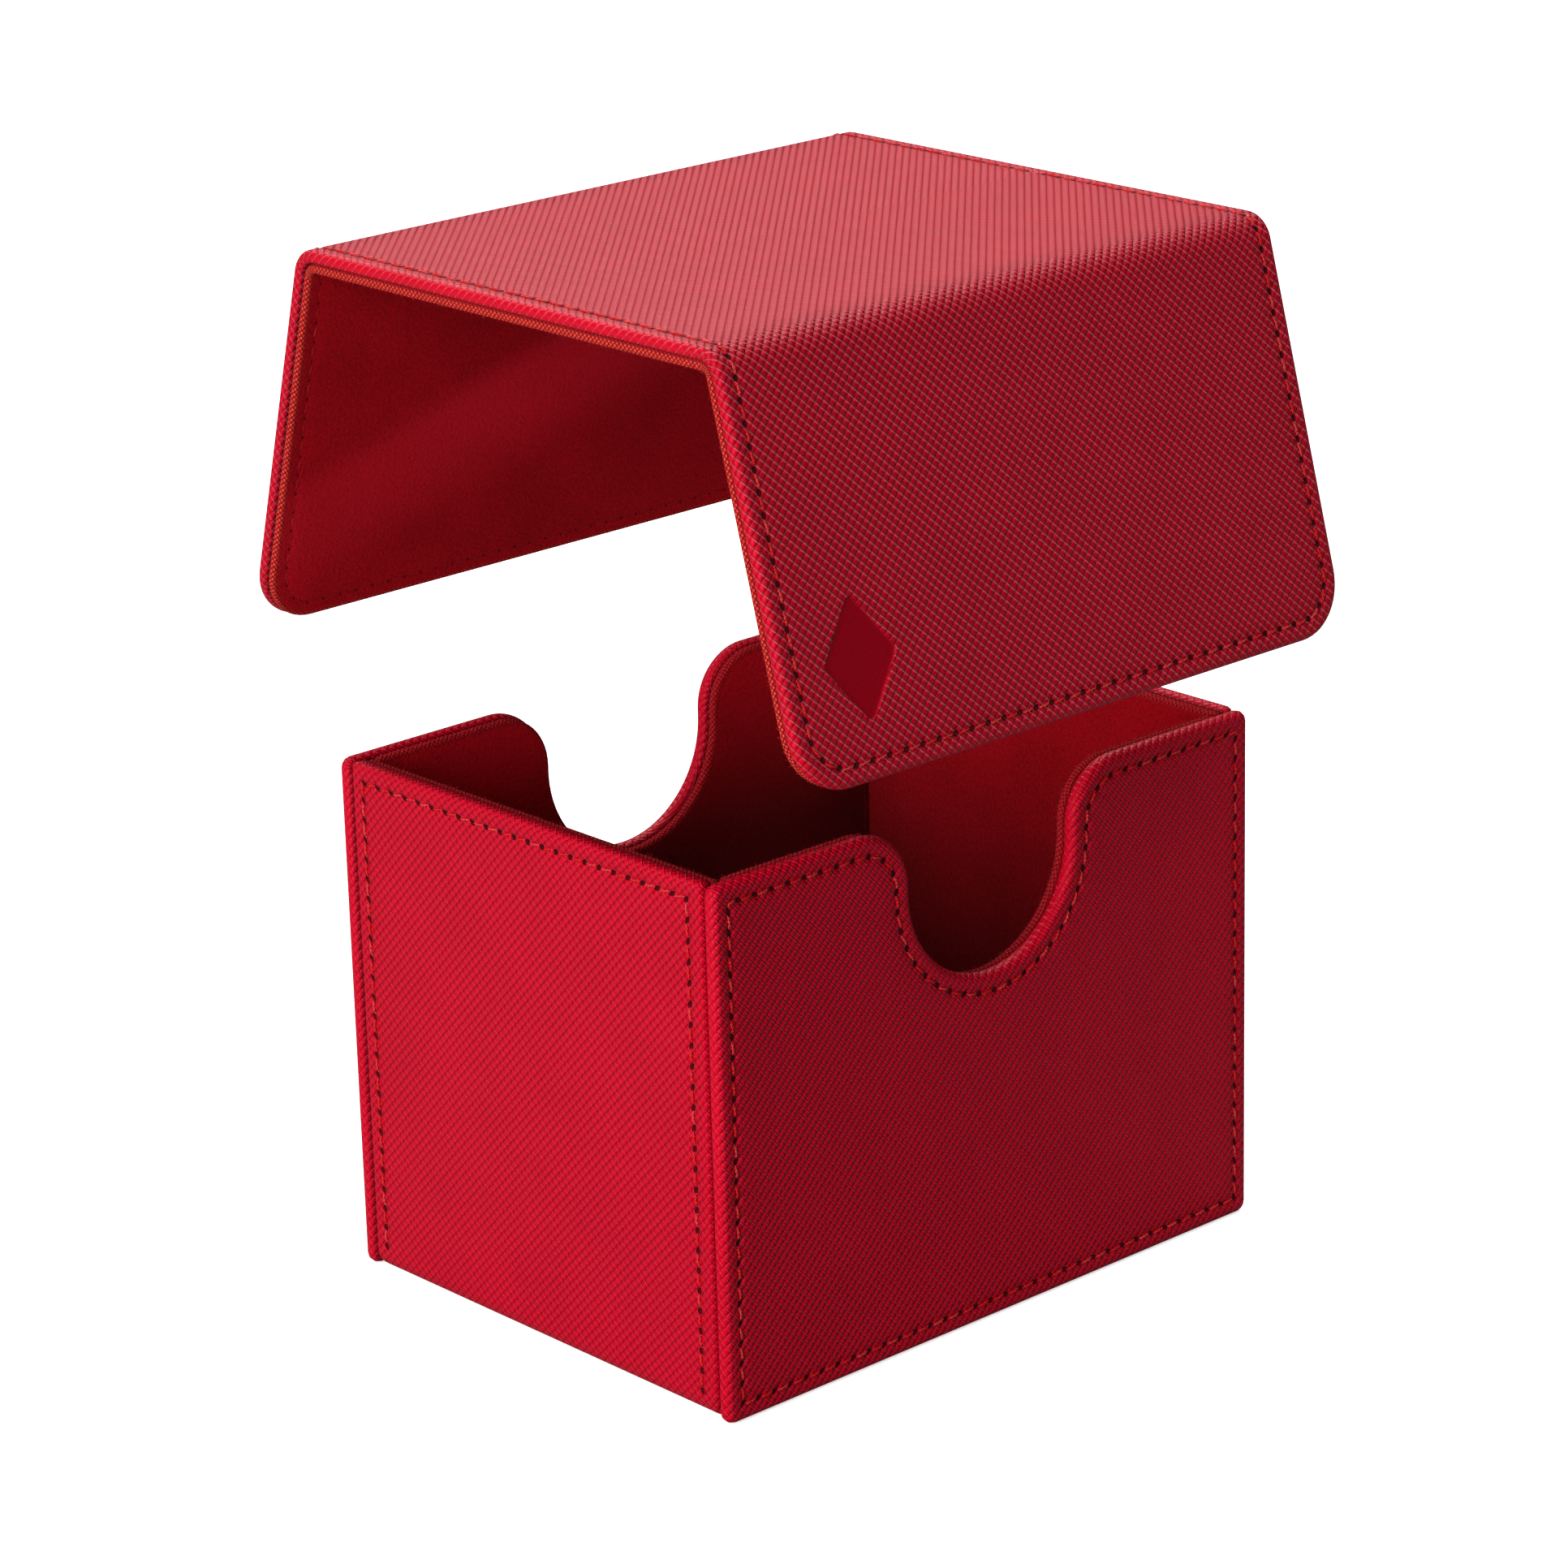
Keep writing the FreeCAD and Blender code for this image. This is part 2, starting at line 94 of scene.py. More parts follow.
class Outline:
    """The edge of a panel, as straight runs and round corners, drawn at any inset.

    Every inset gives the same number of points, so that rings at two insets join up.
    """

    def __init__(self, corners: Sequence[Corner], closed: bool = True,
                 stations: Sequence[float] = (), arc_step: float = 1.0) -> None:
        """Keep the corners, anticlockwise round the panel.

        Args:
            corners: The corners in order, in millimetres.
            closed: Whether the last corner joins the first.
            stations: Levels of y at which every upright run has a point of its own.
            arc_step: Longest step along a round corner.
        """
        self.corners = list(corners)
        self.closed = closed
        self.stations = sorted(stations)
        self.arc_step = arc_step

    def _normal(self, index: int) -> Vector:
        """Inward normal of the run that leaves a corner."""
        here, there = self.corners[index], self.corners[(index + 1) % len(self.corners)]
        run = Vector((there.x - here.x, there.y - here.y)).normalized()
        return Vector((-run.y, run.x))

    def _corner_points(self, index: int, inset: float) -> list[Vector]:
        """Points round one corner at an inset."""
        corner = self.corners[index]
        place = Vector((corner.x, corner.y))
        count = len(self.corners)
        if not self.closed and index in (0, count - 1):
            return [place + inset * self._normal(min(index, count - 2))]
        before, after = self._normal(index - 1), self._normal(index)
        miter = (before + after) / (1.0 + before.dot(after))
        turn = before.angle(after)
        side = 1.0 if corner.hollow else -1.0
        radius = max(corner.radius + side * inset, 0.02)
        centre = place + miter * inset - side * miter * radius
        steps = max(2, math.ceil(corner.radius * turn / self.arc_step))
        points = []
        for step in range(steps + 1):
            share = step / steps
            spoke = (before * math.sin((1 - share) * turn) + after * math.sin(share * turn))
            points.append(centre + side * radius * spoke / math.sin(turn))
        return points

    def loop(self, inset: float) -> list[Point]:
        """All points of the edge at an inset.

        Args:
            inset: Distance into the panel, negative for outside it.

        Returns:
            The points in order.
        """
        arcs = [self._corner_points(index, inset) for index in range(len(self.corners))]
        points: list[Point] = []
        for index, arc in enumerate(arcs):
            if points and math.dist(points[-1], arc[0]) < SAME_POINT:
                arc = arc[1:]
            points.extend((point.x, point.y) for point in arc)
            if index == len(arcs) - 1 and not self.closed:
                break
            here, there = self.corners[index], self.corners[(index + 1) % len(arcs)]
            if abs(here.x - there.x) < HAIR:
                low, high = sorted((here.y, there.y))
                between = [level for level in self.stations if low < level < high]
                for level in (between if there.y > here.y else reversed(between)):
                    points.append((arc[-1].x, level))
        return points

    def lengths(self, inset: float) -> list[float]:
        """Distance along the edge to each point at an inset, and round to the first again."""
        points = self.loop(inset)
        if self.closed:
            points.append(points[0])
        total, lengths = 0.0, [0.0]
        for first, last in zip(points, points[1:]):
            total += math.dist(first, last)
            lengths.append(total)
        return lengths


def rectangle(half_width: float, low: float, high: float, radius: float) -> list[Corner]:
    """Corners of a plain panel, anticlockwise from its lower left."""
    return [Corner(-half_width, low, radius), Corner(half_width, low, radius),
            Corner(half_width, high, radius), Corner(-half_width, high, radius)]


# ---------------------------------------------------------------- wrapped sheets

@dataclass(frozen=True)
class Ring:
    """One ring of a wrapped edge: inset, depth, and the inset on the skin laid out flat."""

    inset: float
    depth: float
    spread: float


@dataclass(frozen=True)
class Wrap:
    """How a skin goes round the edge of its board."""

    thick: float
    radius: float
    lip: float = 4.0
    steps: int = 6

    def rings(self) -> list[Ring]:
        """Rings from the lip turned in behind the board, round the edge, to the face."""
        radius, thick = self.radius, self.thick
        rings = []
        for step in range(self.steps + 1):
            angle = math.pi / 2 * step / self.steps
            rings.append(Ring(radius * (1 - math.sin(angle)), radius * (1 - math.cos(angle)),
                              radius * (1 - angle)))
        beyond = rings[-1].spread - (thick - 2 * radius)
        for step in range(self.steps + 1):
            angle = math.pi / 2 * step / self.steps
            rings.append(Ring(radius * (1 - math.cos(angle)),
                              thick - radius * (1 - math.sin(angle)), beyond - radius * angle))
        rings.append(Ring(self.lip, thick, rings[-1].spread - self.lip + radius))
        return rings[::-1]


@dataclass(frozen=True)
class Seam:
    """A row of stitches along a panel's edge."""

    inset: float = 2.7
    pitch: float = 3.0
    groove: float = 0.14
    reach: float = 0.9
    whole: bool = True          # a closed row takes a whole number of stitches

    def rings(self) -> list[Ring]:
        """Rings that press the row a little into the face."""
        shape = ((-1.0, 0.0), (-0.5, 0.45), (0.0, 1.0), (0.5, 0.45), (1.0, 0.0))
        return [Ring(self.inset + side * self.reach, self.groove * down,
                     self.inset + side * self.reach) for side, down in shape]

    def fitted(self, length: float) -> float:
        """The pitch that divides a closed row evenly."""
        return length / round(length / self.pitch) if self.whole else self.pitch


@dataclass
class Sheet:
    """A skin wrapped over the edge of a panel, with an optional row and pressed mark."""

    name: str
    outline: Outline
    wrap: Wrap
    place: Place
    seam: Optional[Seam] = None
    sewn: Callable[[float, float], bool] = lambda x, y: True
    crossings: Sequence[float] = ()
    mark: Optional["PressedMark"] = None
    border: float = 1.6         # from the last shaped ring to the plain middle

    def rings(self) -> list[Ring]:
        """Every ring from the turned-in lip to the edge of the plain middle."""
        rings = self.wrap.rings()
        face = self.seam.rings() if self.seam else []
        inner = (face[-1].inset if face else self.wrap.radius) + self.border
        return rings + face + [Ring(inner, 0.0, inner)]

    def row(self) -> "Row":
        """The path that this sheet's stitches follow."""
        return Row(self)

    def build(self) -> bpy.types.Object:
        """Make the sheet's mesh.

        Returns:
            The new object, with the skin's flat millimetres and the row's millimetres as UVs.
        """
        rings, outline = self.rings(), self.outline
        row_inset = self.seam.inset if self.seam else 0.0
        along = outline.lengths(row_inset)
        scale = 1.0
        if self.seam:
            scale = self.seam.pitch / self.seam.fitted(along[-1])
        count = len(outline.loop(0.0))
        points, flat, row, seat = [], [], [], []
        for ring in rings:
            spread = outline.loop(ring.spread)
            for index, (x, y) in enumerate(outline.loop(ring.inset)):
                sewn = self.sewn(x, y)
                depth = ring.depth if sewn or ring.inset < self.wrap.radius + HAIR else 0.0
                points.append((x, y, depth))
                flat.append(spread[index])
                seat.append(ring.depth / self.wrap.thick)
                row.append((along[index] * scale, ring.inset if sewn else FAR_INSIDE))
        faces, row_corners = [], []
        last = count if outline.closed else count - 1
        for level in range(len(rings) - 1):
            for index in range(last):
                after = (index + 1) % count
                quad = [level * count + index, level * count + after,
                        (level + 1) * count + after, (level + 1) * count + index]
                faces.append(quad)
                ends = [row[corner] for corner in quad]
                if after == 0:
                    ends[1] = (along[-1] * scale, ends[1][1])
                    ends[2] = (along[-1] * scale, ends[2][1])
                row_corners.append(ends)
        base = (len(rings) - 1) * count
        pressed = [0.0] * len(points)
        self._fill(base, count, points, flat, row, pressed, faces, row_corners)
        seat.extend([0.0] * (len(points) - len(seat)))
        return self._mesh(points, flat, {"pressed": pressed, "seat": seat}, faces, row_corners)

    def _fill(self, base: int, count: int, points: list, flat: list, row: list,
              pressed: list, faces: list, row_corners: list) -> None:
        """Fill the plain middle with triangles that keep to the crossings and the mark."""
        rim = list(range(base, base + count))
        edges = [(index, (index + 1) % count) for index in range(count)]
        for level in self.crossings:
            ends = [index for index in range(count)
                    if abs(points[base + index][1] - level) < HAIR]
            edges.append((ends[0], ends[-1]))
        if self.mark:
            for loop, depth, inside in self.mark.loops():
                first = len(rim)
                for x, y in loop:
                    rim.append(len(points))
                    points.append((x, y, depth))
                    flat.append((x, y))
                    row.append((0.0, FAR_INSIDE))
                    pressed.append(inside)
                edges.extend((first + index, first + (index + 1) % len(loop))
                             for index in range(len(loop)))
        corners = [Vector(points[index][:2]) for index in rim]
        _, _, triangles, origin, _, _ = delaunay_2d_cdt(corners, edges, [], 1, 1e-7)
        for triangle in triangles:
            face = [rim[origin[corner][0]] for corner in triangle]
            faces.append(face)
            row_corners.append([(row[corner][0], FAR_INSIDE) for corner in face])

    def _mesh(self, points: list, flat: list, masks: dict[str, list[float]], faces: list,
              row_corners: list) -> bpy.types.Object:
        """Turn the gathered points and faces into an object."""
        places = [self.place(*point) for point in points]
        first = [places[corner] for corner in faces[-1]]
        x, y, _ = points[faces[-1][0]]
        outward = self.place(x, y, -1.0) - self.place(x, y, 0.0)
        if (first[1] - first[0]).cross(first[2] - first[0]).dot(outward) < 0:
            faces = [face[::-1] for face in faces]
            row_corners = [ends[::-1] for ends in row_corners]
        piece = make_object(self.name, [place * MM for place in places], faces, {
            "skin_mm": [flat[corner] for face in faces for corner in face],
            "row_mm": [end for ends in row_corners for end in ends]})
        for name, values in masks.items():
            mask = piece.data.attributes.new(name, "FLOAT", "POINT")
            mask.data.foreach_set("value", values)
        return piece


def make_object(name: str, places: Sequence, faces: Sequence,
                layers: dict[str, Sequence[Point]]) -> bpy.types.Object:
    """Make a smooth mesh and put it in the scene.

    Args:
        name: Name of the object and its mesh.
        places: Its points, in metres.
        faces: Its faces.
        layers: Pairs for each corner of each face, by the name of their UV layer.

    Returns:
        The new object.
    """
    mesh = bpy.data.meshes.new(name)
    mesh.from_pydata(places, [], faces)
    for label, corners in layers.items():
        layer = mesh.uv_layers.new(name=label)
        layer.uv.foreach_set("vector", [value for corner in corners for value in corner])
    mesh.polygons.foreach_set("use_smooth", [True] * len(mesh.polygons))
    mesh.update()
    piece = bpy.data.objects.new(name, mesh)
    bpy.context.scene.collection.objects.link(piece)
    return piece


@dataclass(frozen=True)
class PressedMark:
    """A plain lozenge pressed into a face."""

    x: float
    y: float
    wide: float = 13.0
    high: float = 17.5
    deep: float = 0.25
    corner: float = 0.9
    slope: float = 0.45

    def loops(self) -> list[tuple[list[Point], float, float]]:
        """Loops from just outside the lozenge to its floor: points, depth, pressed or not."""
        edge = Outline([Corner(self.x, self.y - self.high / 2, self.corner),
                        Corner(self.x + self.wide / 2, self.y, self.corner),
                        Corner(self.x, self.y + self.high / 2, self.corner),
                        Corner(self.x - self.wide / 2, self.y, self.corner)], arc_step=0.3)
        return [(edge.loop(self.slope * inset), self.deep * share, inside)
                for inset, share, inside in ((-1.7, 0.0, 0.0), (-1.0, 0.0, 0.0),
                                             (-0.35, 0.06, 0.0), (0.35, 0.94, 1.0),
                                             (1.0, 1.0, 1.0), (1.7, 1.0, 1.0))]


# ---------------------------------------------------------------- folds

@dataclass(frozen=True)
class Fold:
    """A skin's way in an upright plane: runs and bends, measured on its outer face."""

    start: Point
    heading: float                                  # degrees
    parts: Sequence[tuple[float, float, float]]     # run, then turn in degrees at a radius

    def stations(self, steps: int) -> list[float]:
        """Distances at which the bends need points, ends included."""
        levels, run = [], 0.0
        for length, turn, radius in self.parts:
            run += length
            arc = math.radians(turn) * radius
            if turn:
                levels.extend(run + arc * step / steps for step in range(steps + 1))
            run += arc
        return levels

    def at(self, distance: float, depth: float) -> Point:
        """The place at a distance along the outer face and a depth inside it."""
        spot, heading, left = Vector(self.start), math.radians(self.heading), distance
        for length, turn, radius in self.parts:
            ahead = Vector((math.cos(heading), math.sin(heading)))
            inward = Vector((-ahead.y, ahead.x))
            if left <= length or not turn:
                return tuple(spot + ahead * left + inward * depth)
            spot = spot + ahead * length
            left -= length
            centre = spot + inward * radius
            angle = min(left / radius, math.radians(turn))
            spoke = Matrix.Rotation(angle, 2) @ -inward
            if left <= math.radians(turn) * radius:
                return tuple(centre + spoke * (radius - depth))
            spot = centre + spoke * radius
            left -= math.radians(turn) * radius
            heading += math.radians(turn)
        ahead = Vector((math.cos(heading), math.sin(heading)))
        return tuple(spot + ahead * left + Vector((-ahead.y, ahead.x)) * depth)


# ---------------------------------------------------------------- stitches

class Row:
    """The line that a sheet's stitches follow, in the sheet's own flat millimetres."""

    def __init__(self, sheet: Sheet) -> None:
        """Measure the sheet's edge at the inset of its seam."""
        outline, seam = sheet.outline, sheet.seam
        self.points = outline.loop(seam.inset)
        if outline.closed:
            self.points.append(self.points[0])
        self.along = outline.lengths(seam.inset)
        self.closed = outline.closed
        self.pitch = seam.fitted(self.along[-1])

    def at(self, distance: float) -> tuple[Vector, Vector]:
        """The point at a distance along the row, and the inward direction there."""
        if self.closed:
            distance %= self.along[-1]
        index = min(max(bisect_right(self.along, distance) - 1, 0), len(self.along) - 2)
        first, last = Vector(self.points[index]), Vector(self.points[index + 1])
        run = last - first
        share = (distance - self.along[index]) / max(run.length, HAIR)
        return first + run * share, Vector((-run.y, run.x)).normalized()


@dataclass(frozen=True)
class Thread:
    """A sewing thread of two twisted plies."""

    ply: float = 0.12           # radius of a ply
    twist: float = 0.09         # its distance from the thread's middle
    turns: float = 1.9          # of twist in one stitch
    rise: float = 0.03          # of a stitch's middle above the face
    dive: float = 0.34          # of its ends below the face
    slant: float = 0.34         # sideways, from hole to hole
    hole: float = 0.34          # from a needle hole's middle to where the thread shows
    hump: float = 0.6           # power that makes the middle of a stitch flat
    taper: float = 0.45         # how much thinner a ply is at its ends
    unevenness: tuple[Point, Point] = ((0.6, 1.3), (0.75, 1.25))    # of slant and of rise
    rings: int = 11
    sides: int = 6

    def sew(self, name: str, sheet: Sheet, seed: int, across_start: bool = False
            ) -> bpy.types.Object:
        """Sew a row of stitches along a sheet.

        Args:
            name: Name of the new piece.
            sheet: The sheet that is sewn.
            seed: Seed of the small unevenness.
            across_start: Whether a stitch lies across the start of an open row.

        Returns:
            The stitches, as one object.
        """
        draw, row = random.Random(seed), sheet.row()
        count = int(row.along[-1] / row.pitch + HAIR)
        offset = 0.0 if row.closed else 0.5 * row.pitch
        first = -1 if across_start and not row.closed else 0
        places, faces, uvs, tints = [], [], [], []
        for index in range(first, count):
            start = offset + index * row.pitch
            middle, _ = row.at(max(start + row.pitch / 2, 0.0))
            too_far = not row.closed and start + row.pitch > row.along[-1]
            if too_far or not sheet.sewn(middle.x, middle.y):
                continue
            slants, rises = self.unevenness
            tint, lean = draw.random(), self.slant * draw.uniform(*slants)
            phase, lift = draw.uniform(0, math.tau), self.rise * draw.uniform(*rises)
            for ply in range(2):
                self._ply(sheet, row, start, lean, lift, phase + ply * math.pi,
                          places, faces, uvs)
                tints.extend([(tint, ply)] * (len(faces) - len(tints)))
        return make_object(name, places, faces, {
            "thread_mm": [corner for face in uvs for corner in face],
            "tint": [tint for tint, face in zip(tints, faces) for _ in face]})

    def _ply(self, sheet: Sheet, row: Row, start: float, lean: float, lift: float,
             phase: float, places: list, faces: list, uvs: list) -> None:
        """Add one ply of one stitch."""
        base, length = len(places), row.pitch - 2 * self.hole
        for ring in range(self.rings):
            share = ring / (self.rings - 1)
            spot, inward = row.at(start + self.hole + share * length)
            hump = math.sin(math.pi * share) ** self.hump
            angle = phase + math.tau * self.turns * share
            side = lean * (share - 0.5) + self.twist * math.cos(angle)
            depth = self.dive - (self.dive + lift) * hump + self.twist * math.sin(angle)
            full = min(1.0, 4 * min(share, 1 - share))
            radius = self.ply * (1 - self.taper * (1 - full))
            for step in range(self.sides):
                around = math.tau * step / self.sides
                point = spot + inward * (side + radius * math.cos(around))
                places.append(sheet.place(point.x, point.y,
                                          depth + radius * math.sin(around)) * MM)
        for ring in range(self.rings - 1):
            for step in range(self.sides):
                after = (step + 1) % self.sides
                low, high = base + ring * self.sides, base + (ring + 1) * self.sides
                faces.append([low + step, low + after, high + after, high + step])
                level, above = (length * (ring + more) / (self.rings - 1) for more in (0, 1))
                left, right = step / self.sides, (step + 1) / self.sides
                uvs.append([(level, left), (level, right), (above, right), (above, left)])


@dataclass(frozen=True)
class Nap:
    """Loose fibres that stand on the edge of a suede sheet."""

    per_mm: float = 2.2
    length: float = 0.55
    stand: float = 0.22         # most that a fibre stands above the face
    thick: float = 0.022
    angles: Point = (0.1, 1.3)  # where on the rounded edge, in radians from the face
    shares: Point = (0.35, 1.0)     # of the full length
    lean: float = 0.8           # most that a fibre leans along the edge
    bend: float = 0.1
    bend_at: float = 0.55

    def grow(self, name: str, sheet: Sheet, seed: int) -> bpy.types.Object:
        """Stand short fibres along a sheet's rounded edge.

        Args:
            name: Name of the new piece.
            sheet: The suede sheet that they grow on.
            seed: Seed of their places and directions.

        Returns:
            All fibres, as one object.
        """
        draw, outline, wrap = random.Random(seed), sheet.outline, sheet.wrap
        loop, along = outline.loop(0.0), outline.lengths(0.0)
        places, faces, uvs = [], [], []
        for index in range(len(along) - 1):
            after = (index + 1) % len(loop)
            first, last = Vector(loop[index]), Vector(loop[after])
            run = last - first
            if run.length < HAIR:
                continue
            inward = Vector((-run.y, run.x)).normalized()
            for _ in range(round(run.length * self.per_mm + draw.uniform(-0.5, 0.5))):
                foot = first + run * draw.random()
                if not sheet.sewn(foot.x, foot.y):
                    continue
                angle = draw.uniform(*self.angles)
                level = wrap.radius * (1 - math.cos(angle))
                foot += inward * wrap.radius * (1 - math.sin(angle))
                long = self.length * draw.uniform(*self.shares)
                out = Vector((-inward.x * math.sin(angle), -inward.y * math.sin(angle)))
                side = run.normalized() * draw.uniform(-self.lean, self.lean)
                self._fibre(sheet, foot, level, out * long + side * long,
                            -min(math.cos(angle) * long, self.stand + level),
                            draw, places, faces, uvs)
        return make_object(name, places, faces, {"thread_mm": uvs})

    def _fibre(self, sheet: Sheet, foot: Vector, level: float, lean: Vector, rise: float,
               draw: random.Random, places: list, faces: list, uvs: list) -> None:
        """Add one fibre: a thin three-sided spike with a bend in it."""
        base = len(places)
        bend = Vector([draw.uniform(-self.bend, self.bend) for _ in range(2)])
        for share, wide in ((0.0, 1.0), (self.bend_at, 0.8)):
            for step in range(3):
                around = math.tau * step / 3
                point = foot + lean * share + bend * share
                places.append(sheet.place(point.x + self.thick * wide * math.cos(around),
                                          point.y + self.thick * wide * math.sin(around),
                                          level + rise * share) * MM)
        tip = foot + lean
        places.append(sheet.place(tip.x, tip.y, level + rise) * MM)
        tone = draw.random()
        for step in range(3):
            after = (step + 1) % 3
            faces.append([base + step, base + after, base + 3 + after, base + 3 + step])
            faces.append([base + 3 + step, base + 3 + after, base + 6])
            uvs.extend([(tone, 0.0)] * 7)


# ---------------------------------------------------------------- node graphs

class Signal:
    """A socket's value, so that math nodes are written as plain arithmetic."""

    def __init__(self, graph: "Graph", socket: bpy.types.NodeSocket) -> None:
        """Wrap an output socket of a graph."""
        self.graph, self.socket = graph, socket

    def __add__(self, other: "Number") -> "Signal":
        """The sum."""
        return self.graph.math("ADD", self, other)

    def __sub__(self, other: "Number") -> "Signal":
        """The difference."""
        return self.graph.math("SUBTRACT", self, other)

    def __rsub__(self, other: float) -> "Signal":
        """A number less this."""
        return self.graph.math("SUBTRACT", other, self)

    def __mul__(self, other: "Number") -> "Signal":
        """The product."""
        return self.graph.math("MULTIPLY", self, other)

    def __truediv__(self, other: "Number") -> "Signal":
        """The quotient."""
        return self.graph.math("DIVIDE", self, other)


Number = Union[float, Signal]
Paint = Union[Colour, Signal]


class Graph:
    """A short way of writing a shader's nodes."""

    def __init__(self, tree: bpy.types.NodeTree) -> None:
        """Start on an emptied node tree."""
        self.tree = tree
        tree.nodes.clear()

    def node(self, kind: str, inputs: Optional[dict] = None, **settings: object
             ) -> bpy.types.Node:
        """Add a node.

        Args:
            kind: The node's type, without its ShaderNode prefix.
            inputs: Values or signals for its inputs, by name or number.
            settings: Its own settings.

        Returns:
            The new node.
        """
        prefix = "" if kind.startswith("NodeGroup") else "ShaderNode"
        node = self.tree.nodes.new(prefix + kind)
        for name, value in settings.items():
            setattr(node, name, value)
        self.fill(node, inputs or {})
        return node

    def fill(self, node: bpy.types.Node, inputs: dict) -> None:
        """Link a node's inputs to signals, or set them to values."""
        for name, value in inputs.items():
            socket = node.inputs[name]
            if isinstance(value, Signal):
                self.tree.links.new(value.socket, socket)
            elif socket.type == "RGBA":
                socket.default_value = (*value[:3], 1.0)
            else:
                socket.default_value = value

    def take(self, output: Union[str, int], kind: str, inputs: Optional[dict] = None,
             **settings: object) -> Signal:
        """Add a node and take one of its outputs."""
        return Signal(self, self.node(kind, inputs, **settings).outputs[output])

    def math(self, operation: str, first: Number, second: Number = 0.0,
             clamp: bool = False) -> Signal:
        """The result of one math node."""
        return self.take(0, "Math", {0: first, 1: second}, operation=operation,
                         use_clamp=clamp)

    def step(self, value: Number, low: float, high: float, bottom: float = 0.0,
             top: float = 1.0) -> Signal:
        """A smooth step of a value from bottom at low to top at high."""
        return self.take("Result", "MapRange",
                         {"Value": value, "From Min": low, "From Max": high,
                          "To Min": bottom, "To Max": top},
                         interpolation_type="SMOOTHSTEP")

    def mix(self, share: Number, first: Paint, second: Paint) -> Signal:
        """Two colours mixed."""
        return self.take(2, "Mix", {0: share, 6: first, 7: second}, data_type="RGBA")

    def toned(self, colour: Paint, tone: Number) -> Signal:
        """A colour made lighter or darker by a tone."""
        return self.take(0, "VectorMath", {0: colour, "Scale": tone}, operation="SCALE")

    def noise(self, vector: Signal, scale: Number, detail: float = 2.0,
              rough: float = 0.5, output: str = "Fac") -> Signal:
        """A noise at a scale."""
        return self.take(output, "TexNoise", {"Vector": vector, "Scale": scale,
                                              "Detail": detail, "Roughness": rough})

    def plane(self, vector: Signal) -> tuple[Signal, Signal]:
        """The first two parts of a vector."""
        split = self.node("SeparateXYZ", {0: vector})
        return Signal(self, split.outputs[0]), Signal(self, split.outputs[1])

    def layer(self, name: str) -> Signal:
        """One of the mesh's UV layers."""
        return self.take(0, "UVMap", uv_map=name)

    def mask(self, name: str) -> Signal:
        """One of the mesh's point masks."""
        return self.take("Fac", "Attribute", attribute_name=name)

    def bump(self, height: Signal, deep: float, strength: float = 1.0) -> Signal:
        """A normal from a height, where a height of 1 is so many millimetres deep."""
        return self.take(0, "Bump", {"Height": height, "Strength": strength,
                                     "Distance": deep * MM})

    def group(self, tree: bpy.types.NodeTree, **inputs: Number) -> dict[str, Signal]:
        """Place a node group and give its outputs by name."""
        node = self.tree.nodes.new("ShaderNodeGroup")
        node.node_tree = tree
        self.fill(node, inputs)
        return {socket.name: Signal(self, socket) for socket in node.outputs}


class Kind(Enum):
    """Kinds of a node group's sockets."""

    VALUE = "NodeSocketFloat"
    VECTOR = "NodeSocketVector"


def open_group(name: str, vector: str, values: dict[str, float], outputs: Sequence[str]
               ) -> tuple[Graph, dict[str, Signal], bpy.types.Node]:
    """Start a node group.

    Args:
        name: The group's name.
        vector: Name of its one vector input.
        values: First value of each other input, by name.
        outputs: Names of its outputs.

    Returns:
        Its graph, its inputs by name and its output node.
    """
    tree = bpy.data.node_groups.new(name, "ShaderNodeTree")
    tree.interface.new_socket(vector, in_out="INPUT", socket_type=Kind.VECTOR.value)
    for label, value in values.items():
        socket = tree.interface.new_socket(label, in_out="INPUT",
                                           socket_type=Kind.VALUE.value)
        socket.default_value = value
    for label in outputs:
        tree.interface.new_socket(label, in_out="OUTPUT", socket_type=Kind.VALUE.value)
    graph = Graph(tree)
    sockets = graph.node("NodeGroupInput").outputs
    given = {label: Signal(graph, sockets[label]) for label in (vector, *values)}
    return graph, given, graph.node("NodeGroupOutput")


def lattice_group() -> bpy.types.NodeTree:
    """The embossed diamonds: raised lines one way, grooves the other, a dome between."""
    graph, given, result = open_group("embossed_diamonds", "Flat",
                                      {"Pitch": 1.05, "Line": 0.13, "Uneven": 0.05},
                                      ("Height", "Lines", "Grooves", "Hollow"))
    flat = given["Flat"]
    drift = graph.take(0, "VectorMath", {0: graph.noise(flat, 0.35, output="Color"),
                                         1: (0.5, 0.5, 0.5)}, operation="SUBTRACT")
    shift = graph.toned(drift, given["Uneven"])
    x, y = graph.plane(graph.take(0, "VectorMath", {0: flat, 1: shift}, operation="ADD"))
    diagonal = given["Pitch"] * math.sqrt(2.0)
    tilts, bells = [], []
    for across in (x + y, x - y):
        tilt = graph.math("FRACT", across / diagonal) - 0.5
        width = (0.5 - graph.math("ABSOLUTE", tilt)) / given["Line"]
        tilts.append(tilt)
        bells.append(graph.math("POWER", 2.0, width * width * -BELL_FALL))
    (lean_x, lean_y), (ridge, groove) = tilts, bells
    dome = graph.math("SUBTRACT", 1.0, (lean_x * lean_x + lean_y * lean_y) * 3.2,
                      clamp=True)
    grain = graph.noise(flat, 3.2, 3.0, 0.6)
    # Painted shade, gathered on the lower side of each cell.
    hollow = graph.step(lean_x + lean_y, -0.15, 0.55)
    graph.fill(result, {"Height": dome * 0.46 + ridge * 0.90 - groove * 0.14 + grain * 0.10,
                        "Lines": ridge * (1.0 - groove * 0.55), "Grooves": groove,
                        "Hollow": hollow})
    return graph.tree


